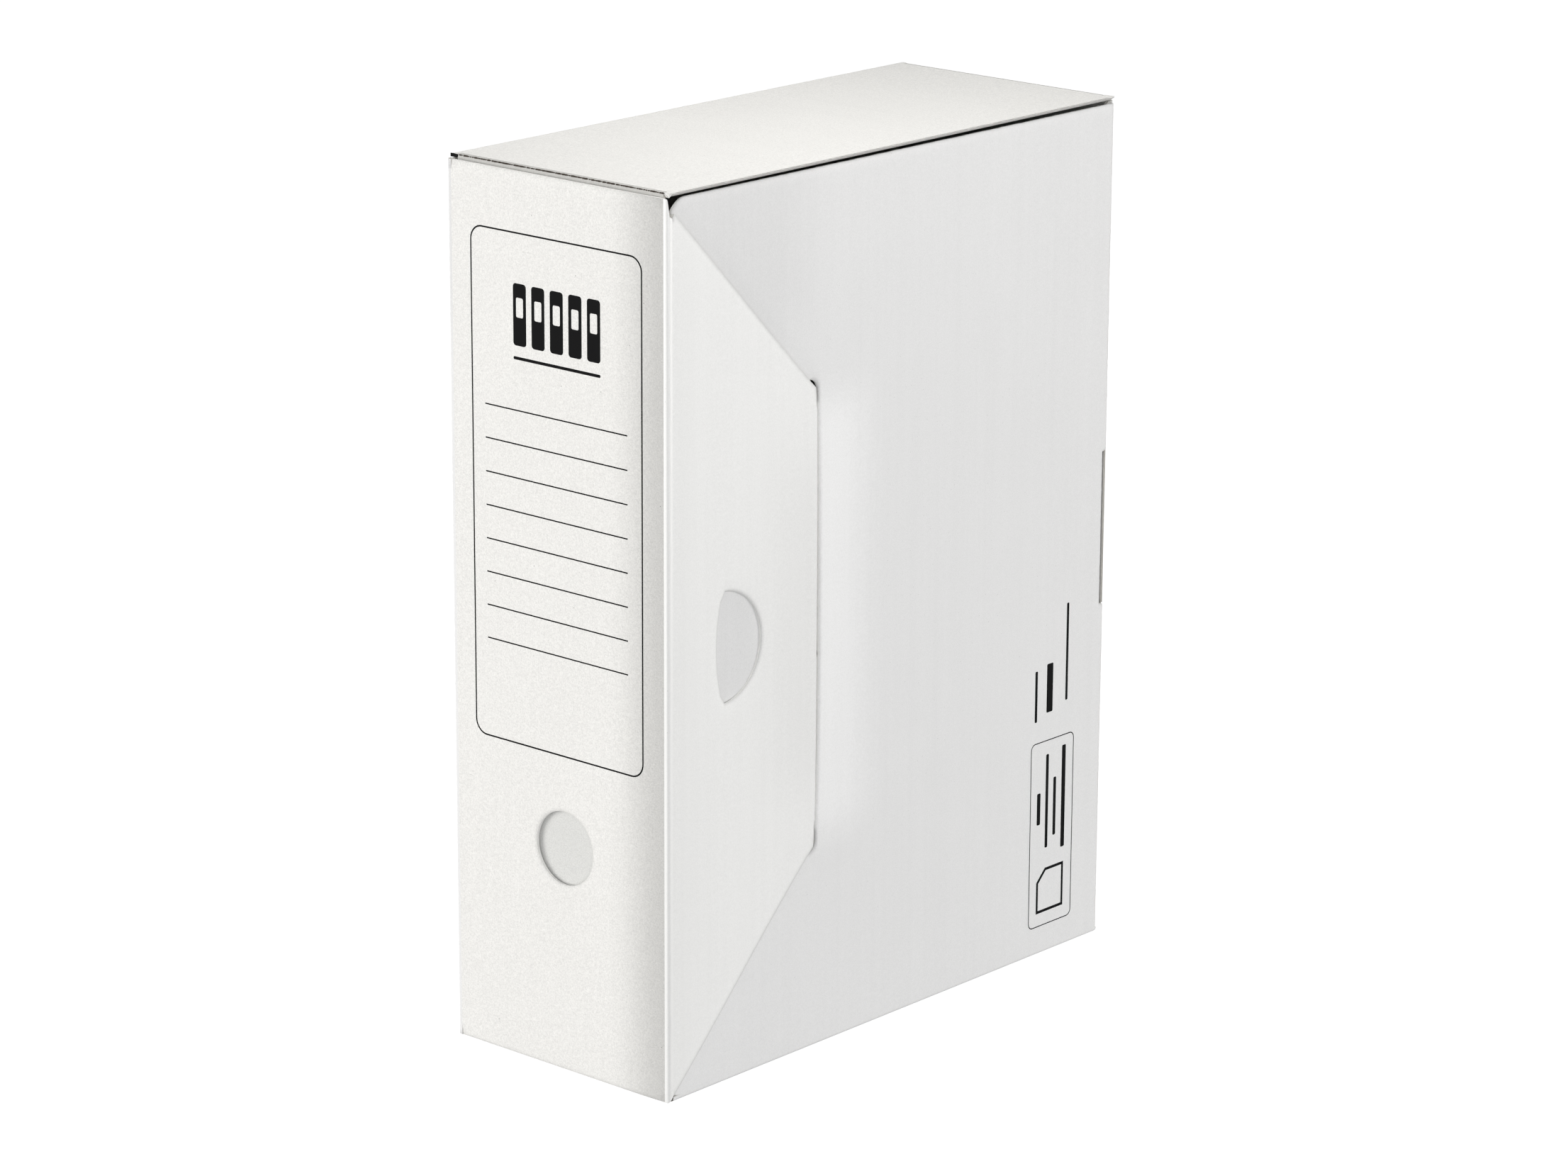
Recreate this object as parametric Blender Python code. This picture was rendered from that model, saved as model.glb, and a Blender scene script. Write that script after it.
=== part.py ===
"""Archival box of white corrugated board: a folded carton that stands on its bottom panel.

+Z is up, the spine faces -Y and the closing tongue lies on the +X side. The origin is the
centre of the footprint on the shelf. All sizes are in metres.
"""

from math import cos, pi, sin, sqrt

import bpy
from mathutils import Matrix, Vector

# Closed box
BOX_WIDTH = 0.105
BOX_DEPTH = 0.244
BOX_HEIGHT = 0.325
BOARD = 0.0015
GAP = 0.0003

# Spine panel and its finger hole
SPINE_RISE = 0.0004
FINGER_HOLE_RADIUS = 0.0136
FINGER_HOLE_FROM_LEFT = 0.0542
FINGER_HOLE_HEIGHT = 0.0835

# Closing tongue, a trapezoid with 45 degree sides, and its D-shaped thumb hole
TONGUE_BASE = 0.3202
TONGUE_REACH = 0.0763
TONGUE_MIDDLE = 0.1607
THUMB_HOLE_RADIUS = 0.0203
THUMB_HOLE_SETBACK = 0.0275
THUMB_HOLE_CHORD = 0.0016
THUMB_HOLE_BOW = 0.0032

# Tip of the tongue, and the slit in the right side panel that takes it
TIP_HEIGHT = 0.160
TIP_TUCK = 0.0124
SLIT_WIDTH = 0.0029
SLIT_FROM_FOLD = 0.0789
SLIT_STRAIGHT = 0.162
SLIT_END_RADIUS = 0.0038

# Right side panel: rounded free corner, falling top edge, and the lock slot at its rear edge
CORNER_RADIUS = 0.004
CORNER_RELIEF = 0.0015
SIDE_TOP_CLEARANCE = 0.0004
SIDE_TOP_FALL = 0.0008
LOCK_SLOT_HEIGHT = 0.060
LOCK_SLOT_MIDDLE = 0.161
LOCK_SLOT_DEPTH = 0.002
LOCK_SLOT_INSIDE = 0.0042

# Flaps inside the box
DUST_FLAP_LENGTH = 0.098
DUST_FLAP_TAPER = 0.004
FLAP_SIDE_CLEARANCE = 0.0021
FLAP_EDGE_CLEARANCE = 0.0009
TUCK_FLAP_DEPTH = 0.018
TUCK_FLAP_TAPER = 0.012

ARC_STEPS = 8
HOLE_STEPS = 40

# Faces of the closed box
LEFT = -BOX_WIDTH / 2
RIGHT = BOX_WIDTH / 2
FRONT = -BOX_DEPTH / 2
BACK = BOX_DEPTH / 2
FOLD = BOARD + GAP
SIDE_OUTER = RIGHT - FOLD
SIDE_INNER = SIDE_OUTER - BOARD
TUCK_OUTER = SIDE_INNER - GAP
TUCK_INNER = TUCK_OUTER - BOARD
WALL_FRONT = FRONT + FOLD
WALL_BACK = BACK - FOLD
WALL_TOP = BOX_HEIGHT - FOLD
WALL_BOTTOM = FOLD

# Turning each drawing plane up from the level: drawing X and Y become the two axes named
TURNS = {"XY": (0.0, 0.0, 0.0), "XZ": (pi / 2, 0.0, 0.0), "YZ": (pi / 2, 0.0, pi / 2)}
NORMALS = {"XY": Vector((0, 0, 1)), "XZ": Vector((0, 1, 0)), "YZ": Vector((1, 0, 0))}

OUTER_WHITE = (0.86, 0.86, 0.84)
SIDE_WHITE = (0.80, 0.80, 0.80)
INNER_GREY = (0.72, 0.72, 0.70)


def clear_scene():
    """Removes every object, so that the script can run again in an open file."""
    for old in list(bpy.data.objects):
        bpy.data.objects.remove(old, do_unlink=True)


def new_collection(name):
    """A collection linked to the scene."""
    group = bpy.data.collections.new(name)
    bpy.context.scene.collection.children.link(group)
    return group


def board_material(name, colour):
    """Matt paper-faced board of one colour."""
    material = bpy.data.materials.new(name)
    material.use_nodes = True
    shader = material.node_tree.nodes["Principled BSDF"]
    shader.inputs["Base Color"].default_value = (*colour, 1.0)
    shader.inputs["Roughness"].default_value = 0.85
    shader.inputs["Metallic"].default_value = 0.0
    material.diffuse_color = (*colour, 1.0)
    return material


def arc(centre, radius, start, end, steps=ARC_STEPS):
    """Points along an arc, from the start angle to the end angle in radians."""
    angles = [start + (end - start) * i / steps for i in range(steps + 1)]
    return [(centre[0] + radius * cos(a), centre[1] + radius * sin(a)) for a in angles]


def rectangle(low, high):
    """The four corners of a rectangle, from its lowest and highest corners."""
    return [low, (high[0], low[1]), high, (low[0], high[1])]


def panel(group, name, outlines, plane, near_face, colour, thickness=BOARD):
    """A flat piece: closed outlines in one plane, thickened from near_face along its normal."""
    curve = bpy.data.curves.new(name, "CURVE")
    curve.dimensions = "2D"
    curve.fill_mode = "BOTH"
    curve.extrude = thickness / 2
    for outline in outlines:
        spline = curve.splines.new("POLY")
        spline.points.add(len(outline) - 1)
        spline.use_cyclic_u = True
        for point, (u, v) in zip(spline.points, outline):
            point.co = (u, v, 0.0, 1.0)
    curve.materials.append(board_material(name, colour))
    piece = bpy.data.objects.new(name, curve)
    piece.rotation_euler = TURNS[plane]
    piece.location = NORMALS[plane] * (near_face + thickness / 2)
    group.objects.link(piece)
    return piece


def crease(group, name, place):
    """An empty on a crease line, for the pieces that turn about it."""
    axis = bpy.data.objects.new(name, None)
    axis.empty_display_size = 0.02
    axis.location = place
    group.objects.link(axis)
    return axis


def hang(child, axis):
    """Parents an object to a crease and leaves it where it is in the world."""
    child.parent = axis
    child.matrix_parent_inverse = Matrix.Translation(-axis.location)


def slit_outline():
    """The slit for the tongue's tip: straight, with both ends curled towards the spine."""
    back_edge = FRONT + SLIT_FROM_FOLD
    curl = back_edge - SLIT_END_RADIUS
    inner = SLIT_END_RADIUS - SLIT_WIDTH
    high = TONGUE_MIDDLE + SLIT_STRAIGHT / 2
    low = TONGUE_MIDDLE - SLIT_STRAIGHT / 2
    outside = arc((curl, low), SLIT_END_RADIUS, -pi / 2, 0.0)
    outside += arc((curl, high), SLIT_END_RADIUS, 0.0, pi / 2)
    inside = arc((curl, high), inner, pi / 2, 0.0)
    inside += arc((curl, low), inner, 0.0, -pi / 2)
    return outside + inside


def thumb_hole_outline():
    """A D-shaped hole: round towards the tip, with a chord that bows towards the spine."""
    centre = (FRONT + THUMB_HOLE_SETBACK, TONGUE_MIDDLE)
    half = sqrt(THUMB_HOLE_RADIUS**2 - THUMB_HOLE_CHORD**2)
    corner = pi / 2 - THUMB_HOLE_CHORD / THUMB_HOLE_RADIUS
    bow_radius = (half**2 + THUMB_HOLE_BOW**2) / (2 * THUMB_HOLE_BOW)
    bow_centre = (centre[0] + THUMB_HOLE_CHORD - THUMB_HOLE_BOW + bow_radius, centre[1])
    swing = half / bow_radius
    round_side = arc(centre, THUMB_HOLE_RADIUS, -corner, corner, HOLE_STEPS // 2)
    chord = arc(bow_centre, bow_radius, pi - swing, pi + swing)
    return round_side + chord[1:-1]


def build_walls(group):
    """The fixed walls: left side, top, bottom and back, with the back's tuck flap."""
    left = rectangle((WALL_FRONT, WALL_BOTTOM), (WALL_BACK, WALL_TOP))
    panel(group, "left_side_panel", [left], "YZ", LEFT, SIDE_WHITE)
    top = rectangle((LEFT, WALL_FRONT), (RIGHT, WALL_BACK))
    panel(group, "top_panel", [top], "XY", BOX_HEIGHT - BOARD, OUTER_WHITE)
    bottom = rectangle((LEFT, WALL_FRONT), (SIDE_OUTER, WALL_BACK))
    panel(group, "bottom_panel", [bottom], "XY", 0.0, OUTER_WHITE)
    build_back(group)


def build_back(group):
    """The back panel, and its tuck flap, which is cut away beside the lock slot."""
    back = rectangle((LEFT, SPINE_RISE), (TUCK_OUTER, WALL_TOP))
    panel(group, "back_panel", [back], "XZ", BACK - BOARD, OUTER_WHITE)
    slot_low = LOCK_SLOT_MIDDLE - LOCK_SLOT_HEIGHT / 2
    slot_high = LOCK_SLOT_MIDDLE + LOCK_SLOT_HEIGHT / 2
    slot_edge = WALL_BACK - LOCK_SLOT_INSIDE
    free_edge = WALL_BACK - TUCK_FLAP_DEPTH
    tuck = [
        (WALL_BACK, WALL_BOTTOM + GAP),
        (WALL_BACK, slot_low),
        (slot_edge, slot_low),
        (slot_edge, slot_high),
        (WALL_BACK, slot_high),
        (WALL_BACK, WALL_TOP - GAP),
        (free_edge, WALL_TOP - TUCK_FLAP_TAPER),
        (free_edge, WALL_BOTTOM + TUCK_FLAP_TAPER),
    ]
    panel(group, "back_tuck_flap", [tuck], "YZ", TUCK_INNER, INNER_GREY)


def build_right_side(group):
    """The right wall: slit for the tongue, rounded free corner and lock slot at the rear."""
    slot_low = LOCK_SLOT_MIDDLE - LOCK_SLOT_HEIGHT / 2
    slot_high = LOCK_SLOT_MIDDLE + LOCK_SLOT_HEIGHT / 2
    slot_edge = WALL_BACK - LOCK_SLOT_DEPTH
    front_top = BOX_HEIGHT - BOARD - SIDE_TOP_CLEARANCE
    corner = (WALL_FRONT + CORNER_RADIUS, front_top - CORNER_RADIUS)
    wall = [
        (WALL_FRONT, WALL_BOTTOM + CORNER_RELIEF),
        (WALL_FRONT + CORNER_RELIEF, WALL_BOTTOM),
        (WALL_BACK, WALL_BOTTOM),
        (WALL_BACK, slot_low),
        (slot_edge, slot_low),
        (slot_edge, slot_high),
        (WALL_BACK, slot_high),
        (WALL_BACK, front_top - SIDE_TOP_FALL),
    ] + arc(corner, CORNER_RADIUS, pi / 2, pi)
    panel(group, "right_side_panel", [wall, slit_outline()], "YZ", SIDE_INNER, SIDE_WHITE)


def build_spine(group):
    """The spine panel with its finger hole, on the crease at the front left corner."""
    hole_centre = (LEFT + FINGER_HOLE_FROM_LEFT, FINGER_HOLE_HEIGHT)
    face = rectangle((LEFT, SPINE_RISE), (RIGHT - FOLD, WALL_TOP))
    hole = arc(hole_centre, FINGER_HOLE_RADIUS, 0.0, 2 * pi, HOLE_STEPS)[:-1]
    spine = panel(group, "spine_panel", [face, hole], "XZ", FRONT, OUTER_WHITE)
    lid_crease = crease(group, "lid_crease", (LEFT, FRONT, BOX_HEIGHT / 2))
    hang(spine, lid_crease)
    return lid_crease


def build_tongue(group, lid_crease):
    """The closing tongue and its tip, on the crease at the spine's right edge."""
    low = TONGUE_MIDDLE - TONGUE_BASE / 2
    high = TONGUE_MIDDLE + TONGUE_BASE / 2
    reach = FRONT + TONGUE_REACH
    trapezoid = [
        (FRONT, low),
        (reach, low + TONGUE_REACH),
        (reach, high - TONGUE_REACH),
        (FRONT, high),
    ]
    outlines = [trapezoid, thumb_hole_outline()]
    tongue = panel(group, "closing_tongue", outlines, "YZ", RIGHT - BOARD, SIDE_WHITE)
    tongue_crease = crease(group, "tongue_crease", (RIGHT, FRONT, TONGUE_MIDDLE))
    hang(tongue, tongue_crease)
    hang(build_tip(group), tongue_crease)
    hang(tongue_crease, lid_crease)


def build_tip(group):
    """The tip: it steps through the slit and runs on behind the side panel."""
    start = FRONT + TONGUE_REACH + GAP
    step = start + BOARD
    profile = [
        (RIGHT, start),
        (RIGHT, step),
        (TUCK_OUTER, step),
        (TUCK_OUTER, start + TIP_TUCK),
        (TUCK_INNER, start + TIP_TUCK),
        (TUCK_INNER, start),
    ]
    bottom = TONGUE_MIDDLE - TIP_HEIGHT / 2
    return panel(group, "tongue_tip", [profile], "XY", bottom, SIDE_WHITE, TIP_HEIGHT)


def build_dust_flap(group, end, level):
    """One dust flap, at the front or rear end and the top or bottom level, on its crease."""
    inner_face = {"front": WALL_FRONT + BOARD, "rear": WALL_BACK - BOARD}[end]
    near_face = {"front": WALL_FRONT, "rear": WALL_BACK - BOARD}[end]
    root = {"top": WALL_TOP, "bottom": WALL_BOTTOM}[level]
    inwards = {"top": -1, "bottom": 1}[level]
    right = {"front": TUCK_OUTER, "rear": TUCK_INNER}[end] - FLAP_EDGE_CLEARANCE
    left = LEFT + BOARD + FLAP_SIDE_CLEARANCE
    tip = root + inwards * DUST_FLAP_LENGTH
    outline = [
        (left, root),
        (right, root),
        (right, tip - inwards * DUST_FLAP_TAPER),
        (right - DUST_FLAP_TAPER, tip),
        (left + DUST_FLAP_TAPER, tip),
        (left, tip - inwards * DUST_FLAP_TAPER),
    ]
    name = f"{level}_{end}_flap"
    flap = panel(group, name, [outline], "XZ", near_face, INNER_GREY)
    place = (0.0, inner_face, root - inwards * GAP)
    hang(flap, crease(group, f"{name}_crease", place))


def main():
    """Builds the whole box."""
    clear_scene()
    group = new_collection("archival_box")
    build_walls(group)
    build_right_side(group)
    build_tongue(group, build_spine(group))
    for end in ("front", "rear"):
        for level in ("top", "bottom"):
            build_dust_flap(group, end, level)


main()
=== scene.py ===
"""Archival box of white corrugated board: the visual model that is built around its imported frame.

Every size is in millimetres until a mesh is made. Drawings are laid flat on a wall of the box, so a
drawing's two axes are world axes, and depth counts inwards from the wall's outer face.
"""

from __future__ import annotations

import logging
import math
from collections.abc import Callable, Sequence
from dataclasses import dataclass, field, fields
from enum import Enum

import bmesh
import bpy
import numpy as np
from mathutils import Matrix, Vector
from mathutils.geometry import delaunay_2d_cdt


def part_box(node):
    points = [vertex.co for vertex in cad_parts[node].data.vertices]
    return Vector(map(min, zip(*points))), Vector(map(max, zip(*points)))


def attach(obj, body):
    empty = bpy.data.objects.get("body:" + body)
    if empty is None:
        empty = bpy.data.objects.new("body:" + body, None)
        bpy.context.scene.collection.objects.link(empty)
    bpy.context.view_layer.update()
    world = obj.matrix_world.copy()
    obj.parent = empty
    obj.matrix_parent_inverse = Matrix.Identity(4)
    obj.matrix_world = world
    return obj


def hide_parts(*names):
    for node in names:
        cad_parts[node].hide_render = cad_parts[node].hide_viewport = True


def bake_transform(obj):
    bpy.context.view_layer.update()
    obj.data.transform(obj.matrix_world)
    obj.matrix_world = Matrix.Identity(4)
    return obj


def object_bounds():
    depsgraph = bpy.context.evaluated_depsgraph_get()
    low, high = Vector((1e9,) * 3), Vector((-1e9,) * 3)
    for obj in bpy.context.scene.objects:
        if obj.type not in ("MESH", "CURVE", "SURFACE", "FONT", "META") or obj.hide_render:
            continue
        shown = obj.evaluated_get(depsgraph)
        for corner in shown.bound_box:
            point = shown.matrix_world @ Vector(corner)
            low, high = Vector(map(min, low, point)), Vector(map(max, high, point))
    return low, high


LOG = logging.getLogger("archival_box")
MM = 0.001
BOARD = 1.5  # thickness of the board
PINCH = (0.22, 0.22)  # how far a knife crushes the outer and the inner face
PINCH_REACH = 1.5  # how far from the cut it crushes them
RECESS = 0.28  # how far the fluting stands back in a cut edge
FOLD_REACH = 2.0  # how far from the corner a crease takes over from the flat wall
FLUTE_PITCH = 3.2
FILM = 0.05  # thickness of an ink film
FILM_LIFT = 0.03  # how far an ink film stands proud of the liner
LOCK_SLOT = (131.0, 191.0)  # heights of the slot at the right wall's rear
PAPER_WHITE = (1.0, 0.985, 0.96)  # colour of the soft boxes
BOX_CENTRE = (0.0, 0.0, 0.16)  # what the lights look at, in metres

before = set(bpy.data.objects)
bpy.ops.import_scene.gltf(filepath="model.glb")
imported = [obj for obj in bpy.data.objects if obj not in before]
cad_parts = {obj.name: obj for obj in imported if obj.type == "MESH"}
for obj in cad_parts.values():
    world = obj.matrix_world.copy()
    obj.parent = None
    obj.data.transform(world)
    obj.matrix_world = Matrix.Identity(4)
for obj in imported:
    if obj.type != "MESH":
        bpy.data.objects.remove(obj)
CAD_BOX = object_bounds()

Array = np.ndarray
Pair = tuple[float, float]
Triple = tuple[float, float, float]
Span = tuple[float, float, float, float]
Material = bpy.types.Material
Object = bpy.types.Object
Finishes = dict[str, Material]
Relief = Callable[[Array, Array], Array]
Placer = Callable[[Array, Array, Array], Array]


def box_mm(node: str) -> tuple[Array, Array]:
    """A CAD node's lowest and highest corners.

    Args:
        node: The node's name.

    Returns:
        Both corners in millimetres.
    """
    low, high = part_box(node)
    return np.array(low) / MM, np.array(high) / MM


def smooth(value: Array | float, start: float, end: float) -> Array:
    """A soft step from 0 at start to 1 at end."""
    t = np.clip((np.asarray(value, float) - start) / (end - start), 0.0, 1.0)
    return t * t * (3.0 - 2.0 * t)


class Wall(Enum):
    """Which way a wall looks: its normal's axis and sign, then the two drawing axes."""

    FRONT = (1, -1, 0, 2)
    BACK = (1, 1, 0, 2)
    RIGHT = (0, 1, 1, 2)
    LEFT = (0, -1, 1, 2)
    TOP = (2, 1, 0, 1)
    BOTTOM = (2, -1, 0, 1)

    @property
    def forward(self) -> bool:
        """True if an anticlockwise drawing on this wall looks outwards."""
        axis, sign = self.value[:2]
        return (sign < 0) == (axis == 1)

    def place(self, face: float, u: Array, v: Array, depth: Array) -> Array:
        """Puts points of a drawing on the wall.

        Args:
            face: Where the wall's outer face is along its normal's axis.
            u: First drawing coordinates.
            v: Second drawing coordinates.
            depth: How far each point is below the outer face.

        Returns:
            One row of world coordinates for each point.
        """
        axis, sign, first, second = self.value
        points = np.zeros((len(u), 3))
        points[:, first] = u
        points[:, second] = v
        points[:, axis] = face - sign * np.asarray(depth)
        return points


class Rim(Enum):
    """How a sheet ends along one run of its outline."""

    CUT = "cut"
    FOLD = "fold"


class Layer(Enum):
    """The material slots of every board piece."""

    OUTER = 0
    INNER = 1
    EDGE = 2


Run = tuple[float, float, Rim]
Drawing = tuple[list[Run], list[list[Run]]]


def rectangle(low: Pair, high: Pair) -> list[Run]:
    """A rectangle of cut edges between two opposite corners."""
    corners = ((low[0], low[1]), (high[0], low[1]), (high[0], high[1]), (low[0], high[1]))
    return [(u, v, Rim.CUT) for u, v in corners]


def arc(centre: Pair, radius: float, start: float, end: float, steps: int = 8) -> list[Run]:
    """Points on an arc between two angles in degrees, both ends included."""
    angles = np.radians(np.linspace(start, end, steps + 1))
    return [(centre[0] + radius * math.cos(a), centre[1] + radius * math.sin(a), Rim.CUT) for a in angles]


def rounded(low: Pair, high: Pair, radius: float, steps: int = 6) -> list[Run]:
    """A rectangle with round corners, anticlockwise."""
    left, right = low[0] + radius, high[0] - radius
    bottom, top = low[1] + radius, high[1] - radius
    corners = (((right, bottom), -90), ((right, top), 0), ((left, top), 90), ((left, bottom), 180))
    return [run for centre, turn in corners for run in arc(centre, radius, turn, turn + 90, steps)]


def framed(low: Pair, high: Pair, radius: float, line: float, steps: int) -> tuple[list[Run], list[list[Run]]]:
    """A frame with round corners, drawn with a line of one width: its outline and its hole."""
    hole = rounded((low[0] + line, low[1] + line), (high[0] - line, high[1] - line), radius - line, steps)
    return rounded(low, high, radius, steps), [hole]


def linked(name: str, data: bpy.types.ID) -> Object:
    """A new object in the scene."""
    made = bpy.data.objects.new(name, data)
    bpy.context.scene.collection.objects.link(made)
    return made


@dataclass
class Bag:
    """Vertices and faces gathered for one piece.

    Attributes:
        points: World coordinates in millimetres.
        faces: Vertex numbers of each face.
        layers: The material slot of each face.
        wear: How crushed the board is at each vertex, from 0 to 1; the liners darken by it, partly as greying of the
            crushed paper and partly as painted shade along cut edges.
    """

    points: list[Array] = field(default_factory=list)
    wear: list[Array] = field(default_factory=list)
    faces: list[tuple[int, ...]] = field(default_factory=list)
    layers: list[int] = field(default_factory=list)
    count: int = 0

    def add(
        self,
        points: Array,
        faces: Sequence[tuple[int, ...]],
        layers: Sequence[int],
        wear: Array | None = None,
    ) -> None:
        """Adds a closed shape with its own vertex numbers."""
        self.wear.append(np.zeros(len(points)) if wear is None else wear)
        self.faces += [tuple(int(i) + self.count for i in face) for face in faces]
        self.points.append(points)
        self.layers += list(layers)
        self.count += len(points)

    def piece(self, name: str, materials: Sequence[Material], sharp: float = 32.0) -> Object:
        """Makes the object.

        Args:
            name: The piece's name.
            materials: One material for each slot.
            sharp: Faces that meet at a greater angle, in degrees, keep a hard edge.

        Returns:
            The object, with its place in its mesh.
        """
        mesh = bpy.data.meshes.new(name)
        mesh.from_pydata((np.concatenate(self.points) * MM).tolist(), [], self.faces)
        for material in materials:
            mesh.materials.append(material)
        mesh.polygons.foreach_set("material_index", self.layers)
        # Per-vertex share of the darkening near cut edges: crushed paper and painted edge shade.
        wear = mesh.attributes.new("wear", "FLOAT", "POINT")
        wear.data.foreach_set("value", np.concatenate(self.wear).astype(np.float32))
        mesh.validate()
        mesh.shade_smooth()
        mesh.set_sharp_from_angle(angle=math.radians(sharp))
        return linked(name, mesh)


def distance_to(points: Array, starts: Array, ends: Array) -> Array:
    """Distance from each point to the nearest of some segments, in millimetres."""
    if not len(starts):
        return np.full(len(points), 1e6)
    along = ends - starts
    length = np.maximum((along**2).sum(1), 1e-12)
    found = []
    for chunk in np.array_split(points, max(1, len(points) // 1500)):
        offset = chunk[:, None, :] - starts[None]
        t = np.clip((offset * along[None]).sum(2) / length[None], 0.0, 1.0)
        found.append(np.sqrt(((offset - t[..., None] * along[None]) ** 2).sum(2).min(1)))
    return np.concatenate(found)


def inside(points: Array, starts: Array, ends: Array) -> Array:
    """True for each point that is inside the outline and outside its holes."""
    crossings = np.zeros(len(points), int)
    x, y = points[:, 0], points[:, 1]
    for (x0, y0), (x1, y1) in zip(starts, ends):
        if y0 == y1:
            continue
        hit = (y0 > y) != (y1 > y)
        crossings += hit & (x < (x1 - x0) * (y - y0) / (y1 - y0) + x0)
    return crossings % 2 == 1


@dataclass
class Sheet:
    """A sheet of board cut from a flat drawing and laid on one wall.

    Attributes:
        wall: The wall that the drawing lies on.
        face: Where the wall's outer face is along its normal's axis.
        outline: The outline, anticlockwise.
        holes: Outlines of its holes.
        thickness: The board's thickness.
        relief: Depth of the outer face under the wall's plane.
        pinch: How far the cutting knife crushed the outer and the inner face at a cut edge.
        crush: Share of the pinch at each point, or all of it everywhere.
        recess: How far the fluting stands back between the liners.
        ragged: How far a cut edge wanders.
        step: Distance between the points of the surface.
        lines: Further drawing lines, across and up, where the surface bends.
        placer: Puts (u, v, depth) in space, instead of the wall.
        seed: Starts the wandering of the cut edges.
    """

    wall: Wall
    face: float
    outline: list[Run]
    holes: list[list[Run]] = field(default_factory=list)
    thickness: float = BOARD
    relief: Relief | None = None
    pinch: Pair = PINCH
    crush: Relief | None = None
    recess: float = RECESS
    ragged: float = 0.0
    step: float = 4.0
    lines: tuple[Sequence[float], Sequence[float]] = ((), ())
    placer: Placer | None = None
    seed: int = 7

    def _loop(self, runs: list[Run], chance: np.random.Generator) -> tuple[Array, Array]:
        """Spaces points along one outline.

        Args:
            runs: The outline's corners.
            chance: Source of the raggedness.

        Returns:
            The points, and for each whether the run that starts there is cut.
        """
        step = 1.2 if self.ragged else self.step
        points, cut = [], []
        for (u0, v0, rim), (u1, v1, _) in zip(runs, runs[1:] + runs[:1]):
            length = math.hypot(u1 - u0, v1 - v0)
            if length < 1e-6:
                continue
            count = max(1, round(length / step))
            normal = np.array((v0 - v1, u1 - u0)) / length
            for i in range(count):
                t = i / count
                point = np.array((u0 + (u1 - u0) * t, v0 + (v1 - v0) * t))
                if self.ragged and i and rim is Rim.CUT:
                    point += normal * chance.normal(0.0, self.ragged)
                points.append(point)
                cut.append(rim is Rim.CUT)
        return np.array(points), np.array(cut)

    def _grid(self, low: Array, high: Array) -> Array:
        """The surface's inner points, before those near an edge are dropped."""
        axes = []
        for i in (0, 1):
            even = np.linspace(low[i], high[i], max(2, round((high[i] - low[i]) / self.step)) + 1)
            extra = np.array(self.lines[i], float)
            if len(extra):
                far = np.abs(even[:, None] - extra[None]).min(1) > 0.45 * self.step
                even = np.concatenate((even[far], extra))
            axes.append(np.sort(even))
        return np.stack(np.meshgrid(*axes, indexing="ij"), -1).reshape(-1, 2)

    def _points(self) -> tuple[Array, list[tuple[int, int]], Array]:
        """All points of the drawing.

        Returns:
            The points, the first and last number of each loop, and which loop points start a cut run.
        """
        chance = np.random.default_rng(self.seed)
        loops = [self._loop(runs, chance) for runs in (self.outline, *self.holes)]
        starts = np.concatenate([points for points, _ in loops])
        ends = np.concatenate([np.roll(points, -1, 0) for points, _ in loops])
        cut = np.concatenate([flags for _, flags in loops])
        spans, first = [], 0
        for points, _ in loops:
            spans.append((first, first + len(points)))
            first += len(points)
        self.starts, self.ends, self.cut = starts, ends, cut
        self.inward = self._inward(spans)
        grown = [starts]
        taken = 0.0
        for reach in (0.35, 0.85, PINCH_REACH) if any(self.pinch) else ():
            keep = cut & np.concatenate([np.roll(cut[a:b], 1) for a, b in spans])
            ring = starts[keep] + self.inward[keep] * reach
            far = distance_to(ring, starts, ends)
            grown.append(ring[(far > 0.9 * reach) & inside(ring, starts, ends)])
            taken = reach
        grid = self._grid(starts.min(0), starts.max(0))
        grid = grid[inside(grid, starts, ends)]
        far = distance_to(grid, starts, ends)
        near_cut = distance_to(grid, starts[cut], ends[cut])
        grid = grid[(far > 0.12) & (near_cut > taken + 0.3)]
        return np.concatenate((*grown, grid)), spans, cut

    def _inward(self, spans: list[tuple[int, int]]) -> Array:
        """For each loop point, the unit vector into the board."""
        normals = np.zeros_like(self.starts)
        for first, last in spans:
            points = self.starts[first:last]
            tangent = np.roll(points, -1, 0) - np.roll(points, 1, 0)
            tangent /= np.maximum(np.linalg.norm(tangent, axis=1), 1e-9)[:, None]
            normals[first:last] = np.stack((-tangent[:, 1], tangent[:, 0]), 1)
        wrong = ~inside(self.starts + normals * 0.05, self.starts, self.ends)
        normals[wrong] *= -1.0
        return normals

    def _place(self, points: Array, depth: Array) -> Array:
        """World coordinates of drawing points at a depth."""
        if self.placer:
            return self.placer(points[:, 0], points[:, 1], depth)
        return self.wall.place(self.face, points[:, 0], points[:, 1], depth)

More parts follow.
